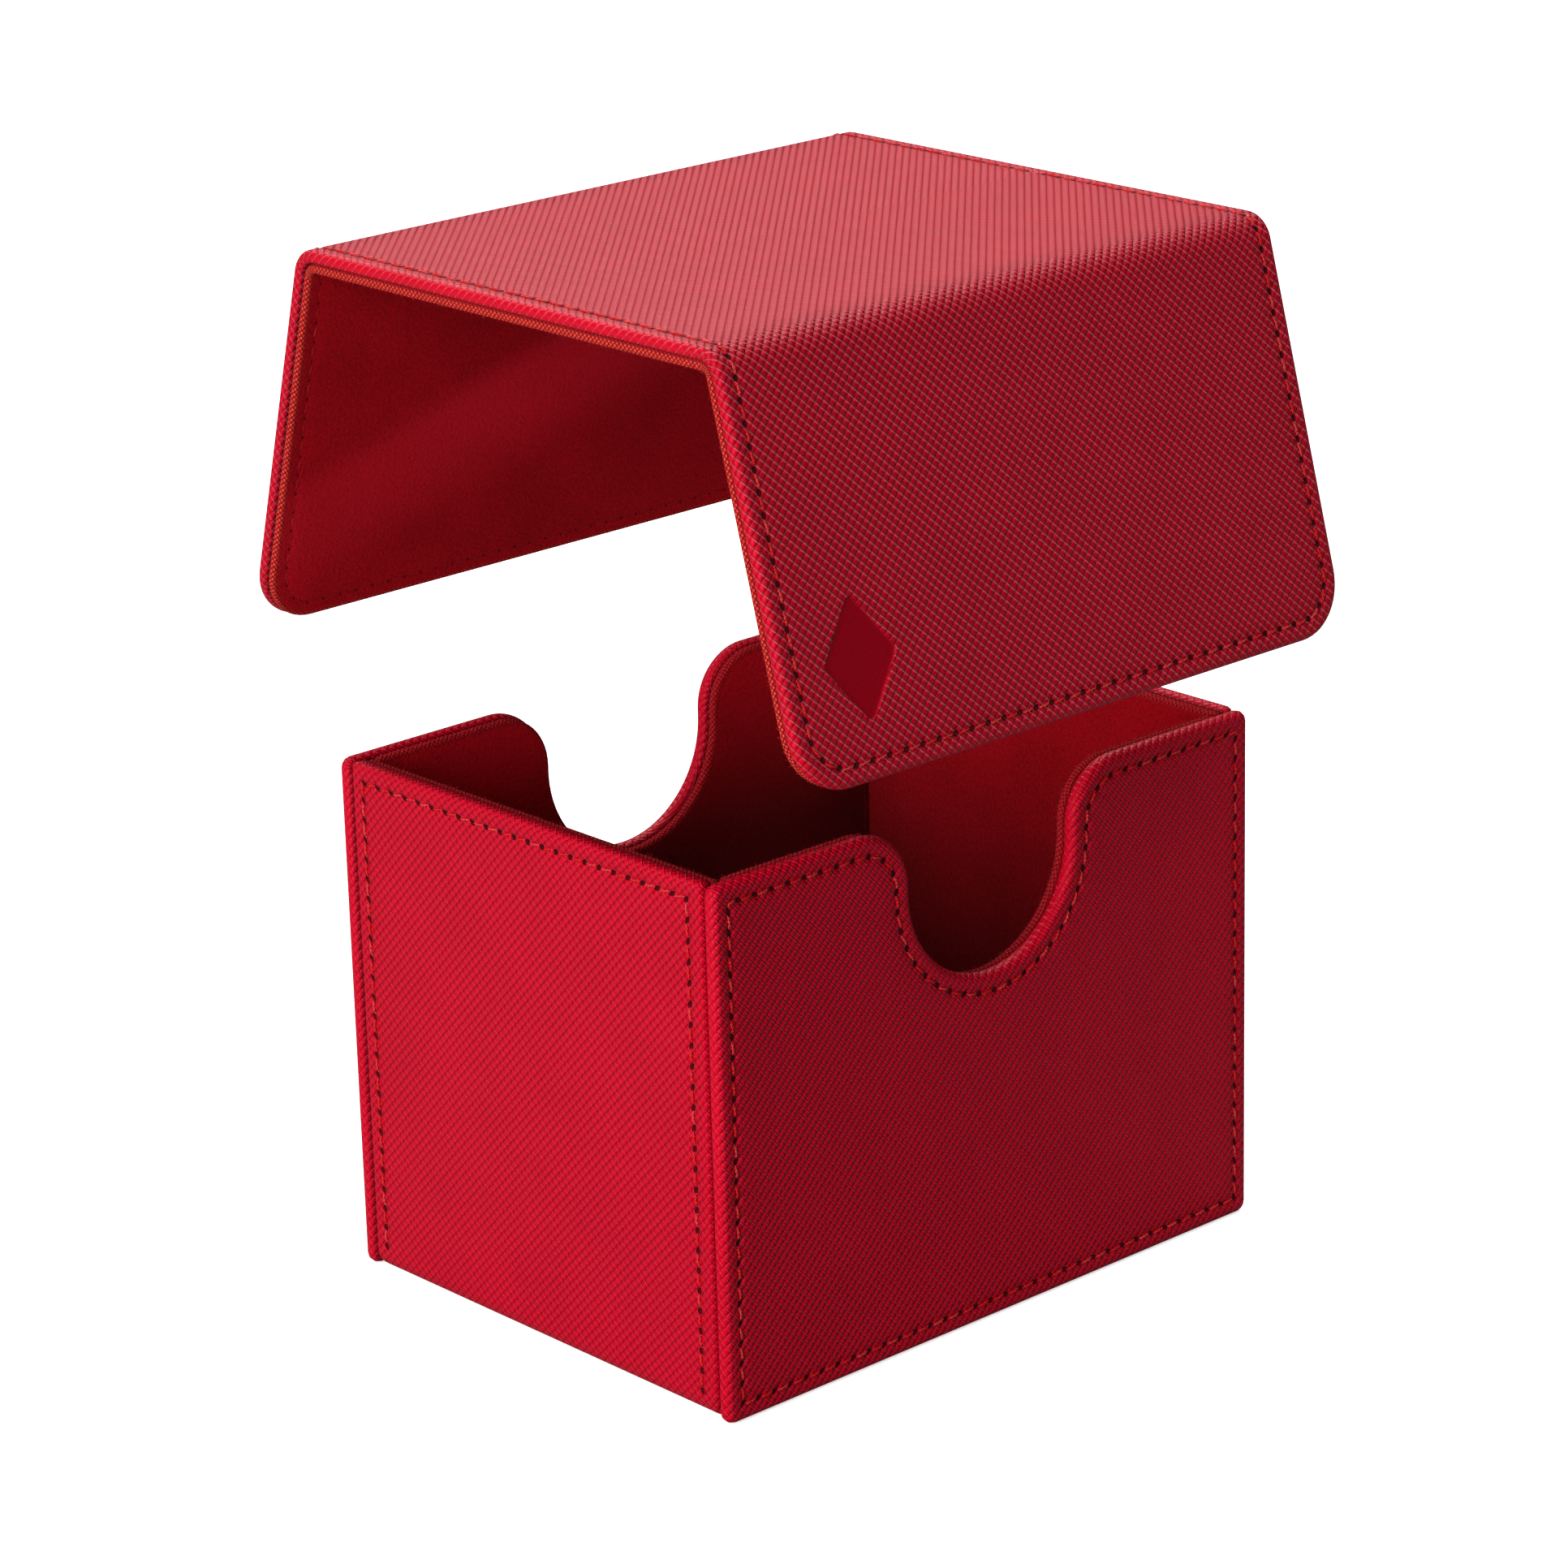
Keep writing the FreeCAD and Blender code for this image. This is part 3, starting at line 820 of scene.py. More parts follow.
def row_group() -> bpy.types.NodeTree:
    """Needle holes and the pulled-in groove of a row of stitches."""
    graph, given, result = open_group("needle_row", "Row",
                                      {"Pitch": 3.0, "Inset": 2.7, "Phase": 0.0,
                                       "Hole": 0.50}, ("Hole", "Pull", "Edge"))
    x, y = graph.plane(given["Row"])
    share = graph.math("FRACT", x / given["Pitch"] + 0.5 + given["Phase"])
    along = (share - 0.5) * given["Pitch"]
    across = y - given["Inset"]
    span = graph.math("SQRT", along * along + across * across * 1.5)
    ratio = span / given["Hole"]
    graph.fill(result, {"Hole": graph.step(ratio, 1.15, 0.75),
                        "Pull": graph.step(ratio, 2.8, 0.9),
                        "Edge": graph.step(y, 1.1, 0.0)})
    return graph.tree


def mottle_group() -> bpy.types.NodeTree:
    """Slow, uneven change of tone over a surface."""
    graph, given, result = open_group("mottle", "Vector",
                                      {"Scale": 0.06, "Low": 0.9, "High": 1.1}, ("Tone",))
    noise = graph.noise(given["Vector"], given["Scale"], 3.0, 0.55)
    tone = graph.take("Result", "MapRange",
                      {"Value": noise, "From Min": 0.3, "From Max": 0.7,
                       "To Min": given["Low"], "To Max": given["High"]})
    graph.fill(result, {"Tone": tone})
    return graph.tree


class Effects:
    """The node groups that the finishes share, each built once."""

    def __init__(self) -> None:
        """Build every group."""
        self.lattice = lattice_group()
        self.row = row_group()
        self.mottle = mottle_group()


def start_material(name: str) -> tuple[bpy.types.Material, Graph, bpy.types.Node]:
    """A new material with its shader joined to its output."""
    material = bpy.data.materials.new(name)
    material.use_nodes = True
    graph = Graph(material.node_tree)
    shader = graph.node("BsdfPrincipled")
    graph.node("OutputMaterial", {"Surface": Signal(graph, shader.outputs[0])})
    return material, graph, shader


# ---------------------------------------------------------------- finishes

@dataclass(frozen=True)
class Leatherette:
    """Red embossed leatherette."""

    colour: Colour = (0.52, 0.0004, 0.014)
    # partly the raised lines' own paler colour, partly a painted highlight
    line_colour: Colour = (0.95, 0.026, 0.090)
    # painted shade, in the grooves and on the lower side of each cell
    shade_colour: Colour = (0.24, 0.0, 0.003)
    pressed_colour: Colour = (0.27, 0.0003, 0.007)
    # painted shade, in the needle holes and in the gap where the skin turns in behind its board
    hole_colour: Colour = (0.004, 0.0, 0.0003)
    tint: Colour = (1.0, 0.20, 0.27)
    roughness: float = 0.40
    gloss: float = 0.34
    relief: float = 0.40            # millimetres
    groove_shade: float = 0.45      # how much of each colour shows, from 0 to 1
    hollow_shade: float = 0.72
    line_show: float = 0.80
    seat_shade: float = 0.62
    hole_shade: float = 0.88
    edge_calm: float = 0.45         # how much the pattern is stretched away at the edge
    pull_deep: float = 0.5          # beside the pattern's own height of 1
    hole_deep: float = 2.2
    top_calm: float = 1.0           # share of the pattern that shows on the lid's top
    top_end: float = 42.0           # where the top ends, along the skin
    top_fade: float = 7.0

    def make(self, effects: Effects, phase: float = 0.0, name: str = "leatherette"
             ) -> bpy.types.Material:
        """Build the material.

        Args:
            effects: The shared node groups.
            phase: Shift of the needle holes, in stitches.
            name: The material's name.

        Returns:
            The material.
        """
        material, graph, shader = start_material(name)
        flat, pressed = graph.layer("skin_mm"), graph.mask("pressed")
        lattice = graph.group(effects.lattice, Flat=flat)
        needle = graph.group(effects.row, Row=graph.layer("row_mm"), Phase=phase)
        tone = graph.group(effects.mottle, Vector=flat, Scale=0.08, Low=0.95, High=1.05)
        kept = graph.math("SUBTRACT", 1.0, pressed, clamp=True)
        kept = graph.math("SUBTRACT", kept, needle["Edge"] * self.edge_calm, clamp=True)
        if self.top_calm < 1.0:
            kept *= graph.step(graph.plane(flat)[1], self.top_end - self.top_fade,
                               self.top_end, self.top_calm, 1.0)
        # Painted shade: the colour darkens in the grooves and on the lower side of each cell.
        shade = graph.math("MAXIMUM", lattice["Grooves"] * self.groove_shade,
                           lattice["Hollow"] * self.hollow_shade)
        colour = graph.mix(shade * kept, self.colour, self.shade_colour)
        # The raised lines: partly their own paler colour, partly a painted highlight along them.
        colour = graph.mix(lattice["Lines"] * kept * self.line_show, colour,
                           self.line_colour)
        colour = graph.mix(pressed, colour, self.pressed_colour)
        colour = graph.toned(colour, tone["Tone"])
        # Painted shade: near black in the gap where the skin turns in behind its board, and in
        # the needle holes.
        gap = graph.step(graph.mask("seat"), 0.76, 1.0, 0.0, self.seat_shade)
        for share in (gap, needle["Hole"] * self.hole_shade):
            colour = graph.mix(share, colour, self.hole_colour)
        height = (lattice["Height"] * kept - needle["Pull"] * self.pull_deep
                  - needle["Hole"] * self.hole_deep)
        rough = shade * 0.16 + self.roughness + needle["Hole"] * 0.4
        graph.fill(shader, {"Base Color": colour, "Roughness": rough,
                            "Specular IOR Level": self.gloss, "Specular Tint": self.tint,
                            "Normal": graph.bump(height, self.relief)})
        return material


@dataclass(frozen=True)
class Suede:
    """Short-napped red suede, with the cloth behind the nap showing along the edges."""

    colour: Colour = (0.50, 0.0012, 0.010)
    dark_colour: Colour = (0.27, 0.0003, 0.004)
    # painted light, in a lighter band across the flap's lining
    brushed_colour: Colour = (0.70, 0.008, 0.026)
    edge_colour: Colour = (0.78, 0.058, 0.034)
    gap_colour: Colour = (0.20, 0.001, 0.003)
    # painted shade in the needle holes
    hole_colour: Colour = (0.02, 0.0, 0.001)
    sheen: Colour = (1.0, 0.10, 0.12)
    relief: float = 0.27
    inset: float = 2.3              # of the row of needle holes
    hole: float = 0.24
    roughness: float = 0.95
    gloss: float = 0.06
    sheen_weight: float = 0.30
    sheen_roughness: float = 0.45
    loop_size: float = 1.6
    brush_level: float = 62.5       # where the painted band of light starts along the flap
    brush_tilt: float = 0.33
    brush_wide: float = 24.0
    low_level: float = -1.0         # heights between which painted shade darkens the nap downwards
    high_level: float = 0.0
    low_tone: float = 1.0

    def make(self, effects: Effects, sewn: bool, name: str) -> bpy.types.Material:
        """Build the material.

        Args:
            effects: The shared node groups.
            sewn: Whether a row of stitches comes through it.
            name: The material's name.

        Returns:
            The material.
        """
        material, graph, shader = start_material(name)
        flat = graph.layer("skin_mm")
        needle = graph.group(effects.row, Row=graph.layer("row_mm"), Phase=0.5,
                             Inset=self.inset, Hole=self.hole if sewn else NO_HOLE)
        patchy = graph.group(effects.mottle, Vector=flat, Scale=0.09, Low=0.0, High=1.0)
        fibre, fleck = graph.noise(flat, 1.9, 4.0, 0.75), graph.noise(flat, 1.3, 3.0, 0.7)
        share = patchy["Tone"] * 0.35 + graph.step(fibre, 0.38, 0.62) * 0.65
        # Painted shade: the nap darkens downwards between low_level and high_level.
        colour = graph.toned(graph.mix(share, self.dark_colour, self.colour),
                             graph.step(graph.plane(flat)[1], self.low_level,
                                        self.high_level, self.low_tone, 1.0))
        # Painted light: a lighter band across the flap's lining.
        if sewn:
            colour = graph.mix(self._brushed(graph, flat, fleck), colour, self.brushed_colour)
        knit = self._knit(graph, flat)
        loops = graph.mix(knit * graph.step(fleck, 0.25, 0.60, 0.45, 1.0), self.gap_colour,
                          self.edge_colour)
        # The knit shows along the edge; painted shade darkens the gap where the suede turns in
        # behind its board, and the needle holes.
        for share, paint in ((needle["Edge"] * 0.95, loops),
                             (graph.step(graph.mask("seat"), 0.70, 1.0, 0.0, 0.85),
                              self.dark_colour), (needle["Hole"] * 0.85, self.hole_colour)):
            colour = graph.mix(share, colour, paint)
        height = fibre * 0.8 + fleck * 0.9 + knit * needle["Edge"] * 1.2 - needle["Hole"]
        graph.fill(shader, {"Base Color": colour, "Roughness": self.roughness,
                            "Specular IOR Level": self.gloss,
                            "Sheen Weight": self.sheen_weight,
                            "Sheen Roughness": self.sheen_roughness,
                            "Sheen Tint": self.sheen,
                            "Normal": graph.bump(height, self.relief)})
        return material

    def _brushed(self, graph: Graph, flat: Signal, fleck: Signal) -> Signal:
        """Painted light: a lighter band across the flap's lining."""
        x, y = graph.plane(flat)
        level = (fleck - 0.5) * 6.0 + (x * self.brush_tilt + y - self.brush_level)
        band = (graph.step(level, -3.0, 4.0)
                * graph.step(level, self.brush_wide, 0.3 * self.brush_wide))
        return band * graph.step(x, -50.0, 20.0, 0.45, 0.9)

    def _knit(self, graph: Graph, flat: Signal) -> Signal:
        """The knitted ground of the suede, 1 on its loops and 0 between them."""
        x, y = graph.plane(flat)
        waves = [graph.math("ABSOLUTE", graph.math("SINE", across
                                                   * (math.tau / self.loop_size)))
                 for across in (x + y, x - y)]
        return graph.step(waves[0] * waves[1], 0.04, 0.60)


@dataclass(frozen=True)
class SewingThread:
    """Twisted polyester thread, with fibres that run aslant along each ply."""

    colour: Colour = (0.80, 0.018, 0.012)
    # painted highlight on the fibres' crests
    pale_colour: Colour = (0.92, 0.15, 0.14)
    # painted shade in the grooves between fibres
    dark_colour: Colour = (0.36, 0.001, 0.006)
    tint: Colour = (1.0, 0.30, 0.30)

    def make(self, name: str = "thread") -> bpy.types.Material:
        """Build the material."""
        material, graph, shader = start_material(name)
        along, around = graph.plane(graph.layer("thread_mm"))
        fibres = graph.math("SINE", (along * 1.4 + around * 5.0) * math.tau)
        which, _ = graph.plane(graph.layer("tint"))
        # Painted shade in the grooves between fibres, and a painted highlight on their crests in
        # most stitches.
        colour = graph.mix(graph.step(fibres, -0.8, 0.9), self.dark_colour, self.colour)
        colour = graph.mix(graph.step(fibres, 0.3, 1.0) * graph.step(which, 0.2, 1.0), colour,
                           self.pale_colour)
        graph.fill(shader, {"Base Color": colour, "Roughness": 0.34,
                            "Specular Tint": self.tint,
                            "Normal": graph.bump(fibres, 0.03, 0.7)})
        return material


@dataclass(frozen=True)
class PaperBoard:
    """Grey paper board with flecks of pulp, inside every panel."""

    colour: Colour = (0.42, 0.40, 0.37)
    fleck_colour: Colour = (0.26, 0.24, 0.21)

    def make(self, effects: Effects, name: str = "paper_board") -> bpy.types.Material:
        """Build the material."""
        material, graph, shader = start_material(name)
        place = graph.take("Object", "TexCoord")
        flecks = graph.noise(place, 900.0, 4.0, 0.7)
        tone = graph.group(effects.mottle, Vector=place, Scale=60.0, Low=0.88, High=1.08)
        colour = graph.mix(graph.step(flecks, 0.45, 0.7), self.colour, self.fleck_colour)
        graph.fill(shader, {"Base Color": graph.toned(colour, tone["Tone"]),
                            "Roughness": 0.92, "Normal": graph.bump(flecks, 0.05, 0.6)})
        return material


@dataclass(frozen=True)
class MagnetPlate:
    """Nickel plate with fine scuffs, on the closing magnets."""

    colour: Colour = (0.62, 0.61, 0.58)

    def make(self, effects: Effects, name: str = "magnet_plate") -> bpy.types.Material:
        """Build the material."""
        material, graph, shader = start_material(name)
        place = graph.take("Object", "TexCoord")
        tone = graph.group(effects.mottle, Vector=place, Scale=400.0, Low=0.85, High=1.05)
        scuffs = graph.noise(place, 2500.0, 3.0, 0.6)
        graph.fill(shader, {"Base Color": graph.toned(self.colour, tone["Tone"]),
                            "Metallic": 1.0,
                            "Roughness": graph.step(scuffs, 0.3, 0.7, 0.22, 0.42)})
        return material


class Finishes:
    """Every material of the box, made once."""

    def __init__(self) -> None:
        """Make the materials from their finishes."""
        effects = Effects()
        self.leather = Leatherette().make(effects)
        # The lid's copy paints brighter highlights on its lines and darker shade in its cells.
        lid = Leatherette(line_colour=(1.0, 0.165, 0.235), shade_colour=(0.16, 0.0, 0.002),
                          relief=0.55, top_calm=0.5)
        self.lid_leather = lid.make(effects, phase=0.5, name="lid_leatherette")
        # Painted shade: the box's linings darken towards the floor, the side linings are a
        # darker copy, and the floor's lining is darkened all over.
        inner = Suede(edge_colour=(0.52, 0.008, 0.014), gap_colour=(0.14, 0.0, 0.002),
                      low_level=46.0, high_level=77.0, low_tone=0.18)
        deep = replace(inner, colour=(0.36, 0.0005, 0.006), dark_colour=(0.18, 0.0, 0.002),
                       low_level=10.0)
        even = replace(deep, low_level=100.0, high_level=200.0, low_tone=0.35)
        self.suede = inner.make(effects, False, "suede")
        self.deep_suede = deep.make(effects, False, "deep_suede")
        self.floor_suede = even.make(effects, False, "floor_suede")
        self.lid_suede = Suede().make(effects, True, "lid_suede")
        self.thread = SewingThread().make()
        self.lining_thread = SewingThread((0.62, 0.012, 0.014), (0.84, 0.08, 0.07),
                                          (0.20, 0.0, 0.003)).make("lining_thread")
        self.fibre = SewingThread(colour=(0.62, 0.03, 0.02)).make("suede_fibre")
        self.board = PaperBoard().make(effects)
        self.magnet = MagnetPlate().make(effects)


def dress(piece: bpy.types.Object, material: bpy.types.Material) -> None:
    """Give a piece its only material."""
    piece.data.materials.clear()
    piece.data.materials.append(material)


# ---------------------------------------------------------------- sub-assemblies

def span(node: str) -> tuple[Vector, Vector]:
    """Lowest and highest corner of a CAD node, in millimetres."""
    low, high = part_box(node)
    return low / MM, high / MM


class Side(Enum):
    """The two ways a wall, flap or lid half faces."""

    FRONT = 1.0
    BACK = -1.0

    @property
    def label(self) -> str:
        """The side's name in the names of pieces."""
        return self.name.lower()


@dataclass
class Pieces:
    """What every sub-assembly needs to finish its pieces."""

    finishes: Finishes
    made: list[str] = field(default_factory=list)

    def keep(self, piece: bpy.types.Object, material: bpy.types.Material,
             replaced: Sequence[str] = ()) -> bpy.types.Object:
        """Dress a piece, hide the CAD nodes it stands for, and log it."""
        dress(piece, material)
        if replaced:
            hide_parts(*replaced)
        self.made.append(piece.name)
        LOG.info("%-28s %6d faces", piece.name, len(piece.data.polygons))
        return piece


@dataclass
class Wall:
    """A notched wall of the box: skin, suede and stitching."""

    side: Side
    notch_round: float = 15.8
    notch_straight: float = 1.2
    notch_shoulder: float = 9.0
    corner_round: float = 1.6
    wrap_round: float = 1.1
    lining_round: float = 0.6
    lining_corner: float = 0.7

    def _corners(self, half: float, low: float, high: float, shrink: float,
                 radius: float) -> list[Corner]:
        """Corners of the notched panel, drawn in by a shrink."""
        bowl, shoulder = self.notch_round + shrink, self.notch_shoulder - shrink
        bottom = high + shrink - self.notch_shoulder - self.notch_straight - bowl
        square = rectangle(half, low, high, radius)
        notch = [Corner(bowl, high, shoulder), Corner(bowl, bottom, bowl, hollow=True),
                 Corner(-bowl, bottom, bowl, hollow=True), Corner(-bowl, high, shoulder)]
        return square[:3] + notch + square[3:]

    def build(self, pieces: Pieces) -> None:
        """Make the wall's three visible pieces."""
        name, turn = f"{self.side.label}_wall", self.side.value
        low, high = span(name + "_cover")
        inner_low, inner_high = span(name + "_lining")
        thick, lining = high.y - low.y, inner_high.y - inner_low.y
        face = -low.y if self.side is Side.FRONT else high.y

        def outside(x: float, y: float, depth: float) -> Vector:
            return Vector((turn * x, turn * (depth - face), y))

        def inside(x: float, y: float, depth: float) -> Vector:
            return Vector((turn * x, turn * (thick + lining - depth - face), y))

        cover = Sheet(name + "_skin", Outline(self._corners(high.x, low.z, high.z, 0.0,
                                                            self.corner_round)),
                      Wrap(thick, self.wrap_round), outside, Seam())
        shrink = high.z - inner_high.z
        suede = Sheet(name + "_suede", Outline(self._corners(inner_high.x, inner_low.z,
                                                             inner_high.z, shrink,
                                                             self.lining_corner)),
                      Wrap(lining, self.lining_round), inside)
        finishes = pieces.finishes
        for sheet, material, slot, node in ((cover, finishes.leather, "leatherette", "_cover"),
                                            (suede, finishes.suede, "suede", "_lining")):
            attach(pieces.keep(sheet.build(), material, [name + node]), "box")
        stitches = Thread().sew(name + "_stitches", cover, seed=11 + int(turn))
        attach(pieces.keep(stitches, finishes.thread, [name + "_stitching"]), "box")
        fibres = Nap().grow(name + "_suede_fibres", suede, seed=31 + int(turn))
        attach(pieces.keep(fibres, finishes.fibre), "box")


@dataclass
class Tray:
    """The skin that makes both side panels and the floor, with the three suede panels."""

    rim_round: float = 0.95
    corner_round: float = 1.0
    fold_round: float = 3.0
    fold_steps: int = 8
    lining_round: float = 0.6
    lining_corner: float = 0.7
    margin: float = 0.3         # from the fold to the last stitch, and on to the flat skin

    def build(self, pieces: Pieces) -> None:
        """Make the folded skin, its stitches and the linings."""
        low, high = span("side_and_floor_cover")
        floor_low, floor_high = span("floor_lining")
        thick = floor_low.z - low.z
        rise = high.z - self.fold_round
        floor = high.x - low.x - 2 * self.fold_round
        arc = math.pi / 2 * self.fold_round
        fold = Fold((low.x, high.z), -90.0,
                    ((rise, 90.0, self.fold_round), (floor, 90.0, self.fold_round),
                     (rise, 0.0, 0.0)))
        total = 2 * rise + 2 * arc + floor

        def place(x: float, y: float, depth: float) -> Vector:
            across, level = fold.at(y, depth)
            return Vector((across, x, level))

        near = (rise - self.margin, total - rise + self.margin)
        levels = [*fold.stations(self.fold_steps), *near,
                  near[0] - self.margin, near[1] + self.margin]
        outline = Outline(rectangle(high.y, 0.0, total, self.corner_round), stations=levels)

        def sewn(x: float, y: float) -> bool:
            return y < near[0] + HAIR or y > near[1] - HAIR

        skin = Sheet("sides_and_floor_skin", outline, Wrap(thick, self.rim_round), place,
                     Seam(), sewn, crossings=levels)
        finishes = pieces.finishes
        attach(pieces.keep(skin.build(), finishes.leather,
                            ["side_and_floor_cover"]), "box")
        stitches = Thread().sew("sides_stitches", skin, seed=5)
        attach(pieces.keep(stitches, finishes.thread,
                            ["left_side_stitching", "right_side_stitching"]), "box")
        for name, turn in (("left_side", 1.0), ("right_side", -1.0)):
            self._side_lining(name, turn, pieces)

        def on_floor(x: float, y: float, depth: float) -> Vector:
            return Vector((x, y, floor_high.z - depth))

        self._lining("floor", rectangle(floor_high.x, floor_low.y, floor_high.y,
                                        self.lining_corner), floor_high.z - floor_low.z,
                     on_floor, finishes.floor_suede, pieces)

    def _side_lining(self, name: str, turn: float, pieces: Pieces) -> None:
        """Suede on the inside of one side panel, with its fibres."""
        low, high = span(name + "_lining")
        face = high.x if turn > 0 else -low.x

        def place(x: float, y: float, depth: float) -> Vector:
            return Vector((turn * (face - depth), -turn * x, y))

        sheet = self._lining(name, rectangle(high.y, low.z, high.z, self.lining_corner),
                             high.x - low.x, place, pieces.finishes.deep_suede, pieces)
        fibres = Nap().grow(name + "_suede_fibres", sheet, seed=41 + int(turn))
        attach(pieces.keep(fibres, pieces.finishes.fibre), "box")

    def _lining(self, name: str, corners: Sequence[Corner], thick: float, place: Place,
                material: bpy.types.Material, pieces: Pieces) -> Sheet:
        """One panel of suede."""
        sheet = Sheet(name + "_suede", Outline(corners), Wrap(thick, self.lining_round),
                      place)
        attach(pieces.keep(sheet.build(), material, [name + "_lining"]), "box")
        return sheet


@dataclass
class LidHalf:
    """Half of the lid's top with one flap: one skin and one suede sheet over the crease."""

    side: Side
    crease_reach: float = 3.6
    splay: float = 15.0
    flap_length: float = 59.5
    flap_corner: float = 8.5
    lid_round: float = 0.95
    lining_round: float = 0.6
    crease_steps: int = 12
    margin: float = 0.5         # from the crease to the first level that lies flat
    emblem_side: float = 14.0
    emblem_up: float = 16.0

    def _fold(self) -> tuple[Fold, float]:
        """The half's way from the middle of the lid's top to the flap's free edge.

        Returns:
            The fold, and its whole length on the outer face.
        """
        _, high = span("lid_top_cover")
        hinge = next(joint for joint in frame["joints"]
                     if joint["name"] == f"{self.side.label}_flap_fold")
        pivot_y, pivot_z = abs(hinge["pos_m"][1]) / MM, hinge["pos_m"][2] / MM
        above = high.z - pivot_z
        stiff = pivot_y - high.y
        bend = 90.0 - self.splay
        tangent = math.tan(math.radians(bend / 2))
        radius = (stiff + above * tangent) / tangent
        flap = self.flap_length - self.crease_reach
        fold = Fold((0.0, high.z), 180.0, ((high.y, bend, radius), (flap, 0.0, 0.0)))
        return fold, high.y + math.radians(bend) * radius + flap

    def build(self, pieces: Pieces) -> None:
        """Make the half's skin and suede, each with its row of stitches."""
        label, turn = self.side.label, self.side.value
        low, high = span("lid_top_cover")
        inner_low, inner_high = span("lid_top_lining")
        fold, length = self._fold()
        thick, lining = high.z - low.z, inner_high.z - inner_low.z
        whole = thick + lining
        levels = fold.stations(self.crease_steps)
        levels = [levels[0] - self.margin, *levels, levels[-1] + self.margin]

        def outside(x: float, y: float, depth: float) -> Vector:
            across, level = fold.at(y, depth)
            return Vector((-turn * x, turn * across, level))

        def inside(x: float, y: float, depth: float) -> Vector:
            across, level = fold.at(y, whole - depth)
            return Vector((-turn * x, turn * across, level))

        mark = None
        if self.side is Side.FRONT:
            mark = PressedMark(high.x - self.emblem_side, length - self.emblem_up)
        edge = self._outline(high.x, length, self.flap_corner, levels)
        skin = Sheet(f"lid_{label}_skin", edge, Wrap(thick, self.lid_round), outside,
                     Seam(whole=False), crossings=levels, mark=mark)
        less = high.x - inner_high.x
        edge = self._outline(inner_high.x, length - less, self.flap_corner - less, levels)
        suede = Sheet(f"lid_{label}_suede", edge, Wrap(lining, self.lining_round), inside,
                      Seam(inset=2.3, groove=0.10, whole=False), crossings=levels)
        finishes = pieces.finishes
        rows = [(skin, finishes.lid_leather, "leatherette", "cover", 0.0),
                (suede, finishes.lid_suede, "suede", "lining", whole)]
        for sheet, material, slot, kind, depth in rows:
            nodes = [f"{label}_flap_{kind}", f"{label}_crease_{kind}", f"lid_top_{kind}"]
            self._join(pieces.keep(sheet.build(), material, nodes), fold, depth)
            outer = kind == "cover"
            thread = Thread() if outer else Thread(ply=0.08, twist=0.06, rise=-0.13)
            stitches = thread.sew(f"{sheet.name}_stitches", sheet, seed=71 + int(turn),
                                  across_start=self.side is Side.FRONT)
            sewn = [f"{label}_flap_stitching", "lid_top_stitching"] if outer else []
            finish = finishes.thread if outer else finishes.lining_thread
            self._join(pieces.keep(stitches, finish, sewn), fold, depth)
        fibres = Nap().grow(f"lid_{label}_suede_fibres", suede, seed=51 + int(turn))
        self._join(pieces.keep(fibres, finishes.fibre), fold, whole)

    @staticmethod
    def _outline(half: float, length: float, radius: float, levels: Sequence[float]
                 ) -> Outline:
        """An open outline: down one side, round the flap's free edge and up the other."""
        return Outline([Corner(half, 0.0), Corner(half, length, radius),
                        Corner(-half, length, radius), Corner(-half, 0.0)], closed=False,
                       stations=levels)

    def _join(self, piece: bpy.types.Object, fold: Fold, depth: float) -> None:
        """Bake a piece's place into its mesh; the crease's ends are worked out but not used."""
        ends = [fold.at(level, depth) for level in fold.stations(1)]
        start, end = (Vector((0.0, self.side.value * across, level)) * MM
                      for across, level in ends)
        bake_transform(piece)


def dress_cores(finishes: Finishes) -> None:
    """Give the boards and magnets inside the panels their finish."""
    for name, node in frame["nodes"].items():
        if name.endswith("magnets"):
            dress(node, finishes.magnet)
        elif name.endswith(("board", "card")):
            dress(node, finishes.board)


# ---------------------------------------------------------------- studio

def towards(azimuth: float, elevation: float) -> Vector:
    """The way from the box to a place round it, from two angles in degrees."""
    turn, lift = math.radians(azimuth), math.radians(elevation)
    return Vector((math.sin(turn) * math.cos(lift), -math.cos(turn) * math.cos(lift),
                   math.sin(lift)))


@dataclass(frozen=True)
class Softbox:
    """A large soft light."""

    name: str
    azimuth: float              # degrees, 0 in front of the box and 90 to its right
    elevation: float
    distance: float             # metres
    wide: float
    high: float
    power: float                # watts

    def hang(self, aim: Vector) -> None:
        """Hang the light, facing a point."""
        lamp = bpy.data.lights.new(self.name, "AREA")
        lamp.shape, lamp.size, lamp.size_y = "RECTANGLE", self.wide, self.high
        lamp.energy = self.power
        holder = bpy.data.objects.new(self.name, lamp)
        back = towards(self.azimuth, self.elevation)
        holder.location = aim + back * self.distance
        holder.rotation_euler = back.to_track_quat("Z", "Y").to_euler()
        bpy.context.scene.collection.objects.link(holder)


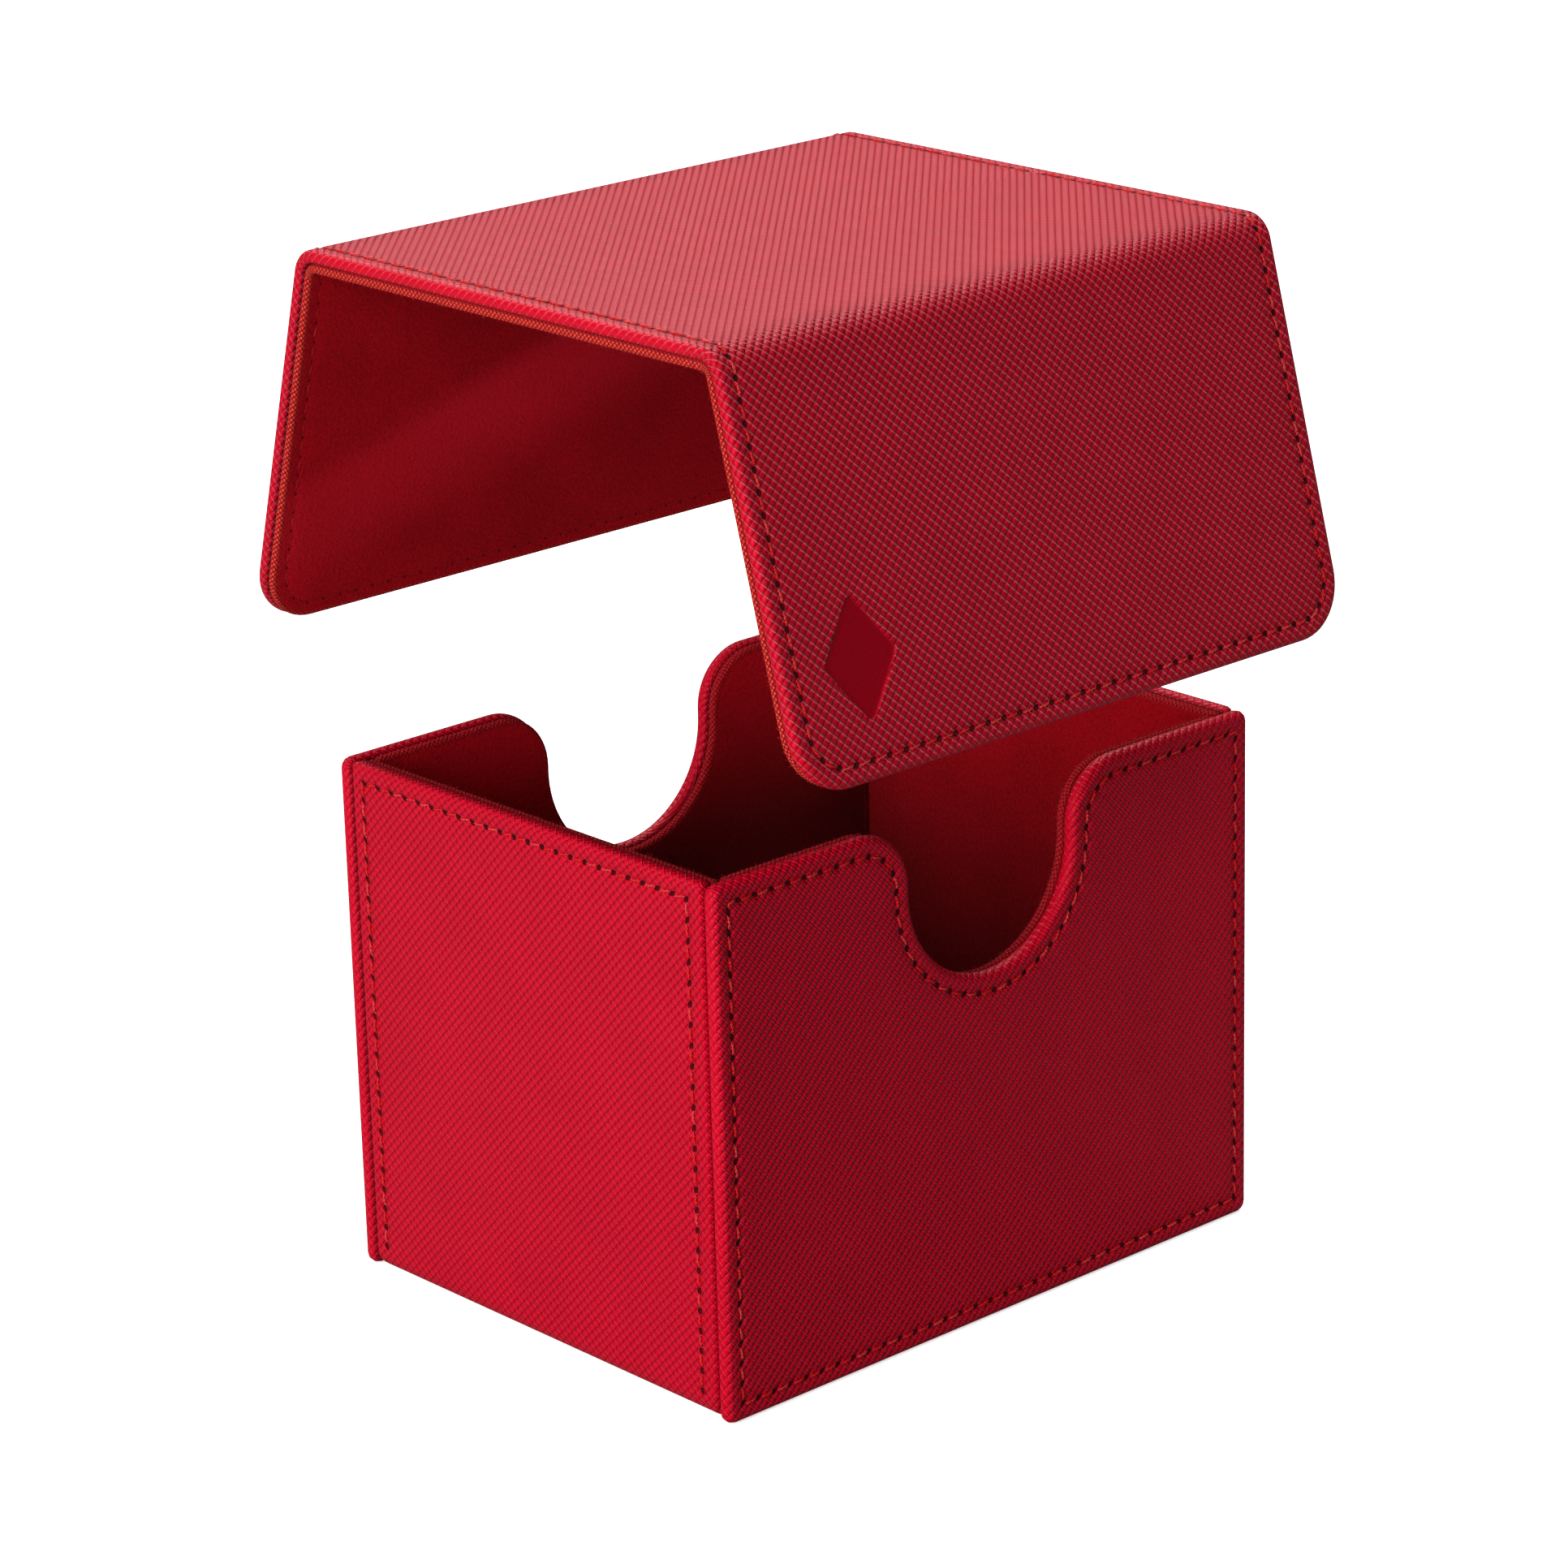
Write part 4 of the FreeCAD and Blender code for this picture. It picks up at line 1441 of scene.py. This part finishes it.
@dataclass(frozen=True)
class Studio:
    """Floor, lights, world and camera."""

    aim: Vector = Vector((0.0, 0.0, 0.075))
    lens: float = 122.66
    sensor: float = 36.0
    azimuth: float = -42.17
    elevation: float = 18.88
    roll: float = -1.505
    distance: float = 0.76724
    slide: tuple[float, float] = (0.00182, 0.00406)
    clip: tuple[float, float] = (0.01, 20.0)
    floor_size: float = 6.0
    floor_drop: float = 0.05        # millimetres below the box, so that the two never meet
    floor_bounce: Colour = (0.22, 0.21, 0.21)
    floor_tones: tuple[Colour, Colour] = ((0.86, 0.86, 0.86), (0.88, 0.88, 0.88))
    floor_glow: float = 0.6
    ambient: float = 0.04
    lights: Sequence[Softbox] = (
        Softbox("key_light", -80.0, 17.0, 1.2, 1.1, 0.9, 23.0),
        Softbox("top_light", 155.0, 46.0, 1.2, 1.1, 0.7, 12.7),
        Softbox("over_light", 50.0, 66.0, 1.2, 0.6, 0.6, 4.9),
        Softbox("front_fill", -8.0, 4.0, 1.6, 0.9, 0.4, 2.3),
    )

    def build(self) -> None:
        """Set up the whole studio."""
        self._floor()
        self._world()
        for light in self.lights:
            light.hang(self.aim)
        self._camera()
        bpy.context.scene.view_settings.view_transform = "Standard"

    def _floor(self) -> None:
        """A plain pale floor."""
        half = self.floor_size / 2
        floor = make_object("floor_sheet", [(-half, -half, 0), (half, -half, 0),
                                            (half, half, 0), (-half, half, 0)],
                            [(0, 1, 2, 3)], {})
        floor.location.z = -self.floor_drop * MM
        material, graph, shader = start_material("pale_floor")
        tone = graph.noise(graph.take("Object", "TexCoord"), 3.0)
        pale = graph.mix(tone, *self.floor_tones)
        seen = graph.take("Is Camera Ray", "LightPath")
        graph.fill(shader, {"Base Color": graph.mix(seen, self.floor_bounce, pale),
                            "Roughness": 0.9, "Specular IOR Level": 0.0,
                            "Emission Color": WHITE,
                            "Emission Strength": seen * self.floor_glow})
        dress(floor, material)

    def _world(self) -> None:
        """White all round, bright behind the box and soft on it."""
        world = bpy.data.worlds.new("studio_world")
        bpy.context.scene.world = world
        world.use_nodes = True
        graph = Graph(world.node_tree)
        seen = graph.take("Is Camera Ray", "LightPath")
        light = graph.take(0, "Background", {
            "Color": WHITE, "Strength": seen * (1.0 - self.ambient) + self.ambient})
        graph.node("OutputWorld", {"Surface": light})

    def _camera(self) -> None:
        """A long lens, looking down a little at the left front corner."""
        camera = bpy.data.cameras.new("camera")
        camera.lens, camera.sensor_width = self.lens, self.sensor
        camera.clip_start, camera.clip_end = self.clip
        holder = bpy.data.objects.new("camera", camera)
        turn, roll = math.radians(self.azimuth), math.radians(self.roll)
        back = towards(self.azimuth, self.elevation)
        level = Vector((math.cos(turn), math.sin(turn), 0.0))
        upright = back.cross(level)
        right = level * math.cos(roll) + upright * math.sin(roll)
        above = upright * math.cos(roll) - level * math.sin(roll)
        spot = (self.aim - right * self.slide[0] - above * self.slide[1]
                + back * self.distance)
        holder.matrix_world = (Matrix.Translation(spot)
                               @ Matrix((right, above, back)).transposed().to_4x4())
        bpy.context.scene.collection.objects.link(holder)
        bpy.context.scene.camera = holder


def main() -> None:
    """Build and dress every sub-assembly, then the studio."""
    logging.basicConfig(level=logging.INFO, format="%(message)s")
    pieces = Pieces(Finishes())
    for part in (Wall(Side.FRONT), Wall(Side.BACK), Tray(), LidHalf(Side.FRONT),
                 LidHalf(Side.BACK)):
        part.build(pieces)
    dress_cores(pieces.finishes)
    Studio().build()
    LOG.info("%d pieces made", len(pieces.made))


if __name__ == "__main__":
    main()
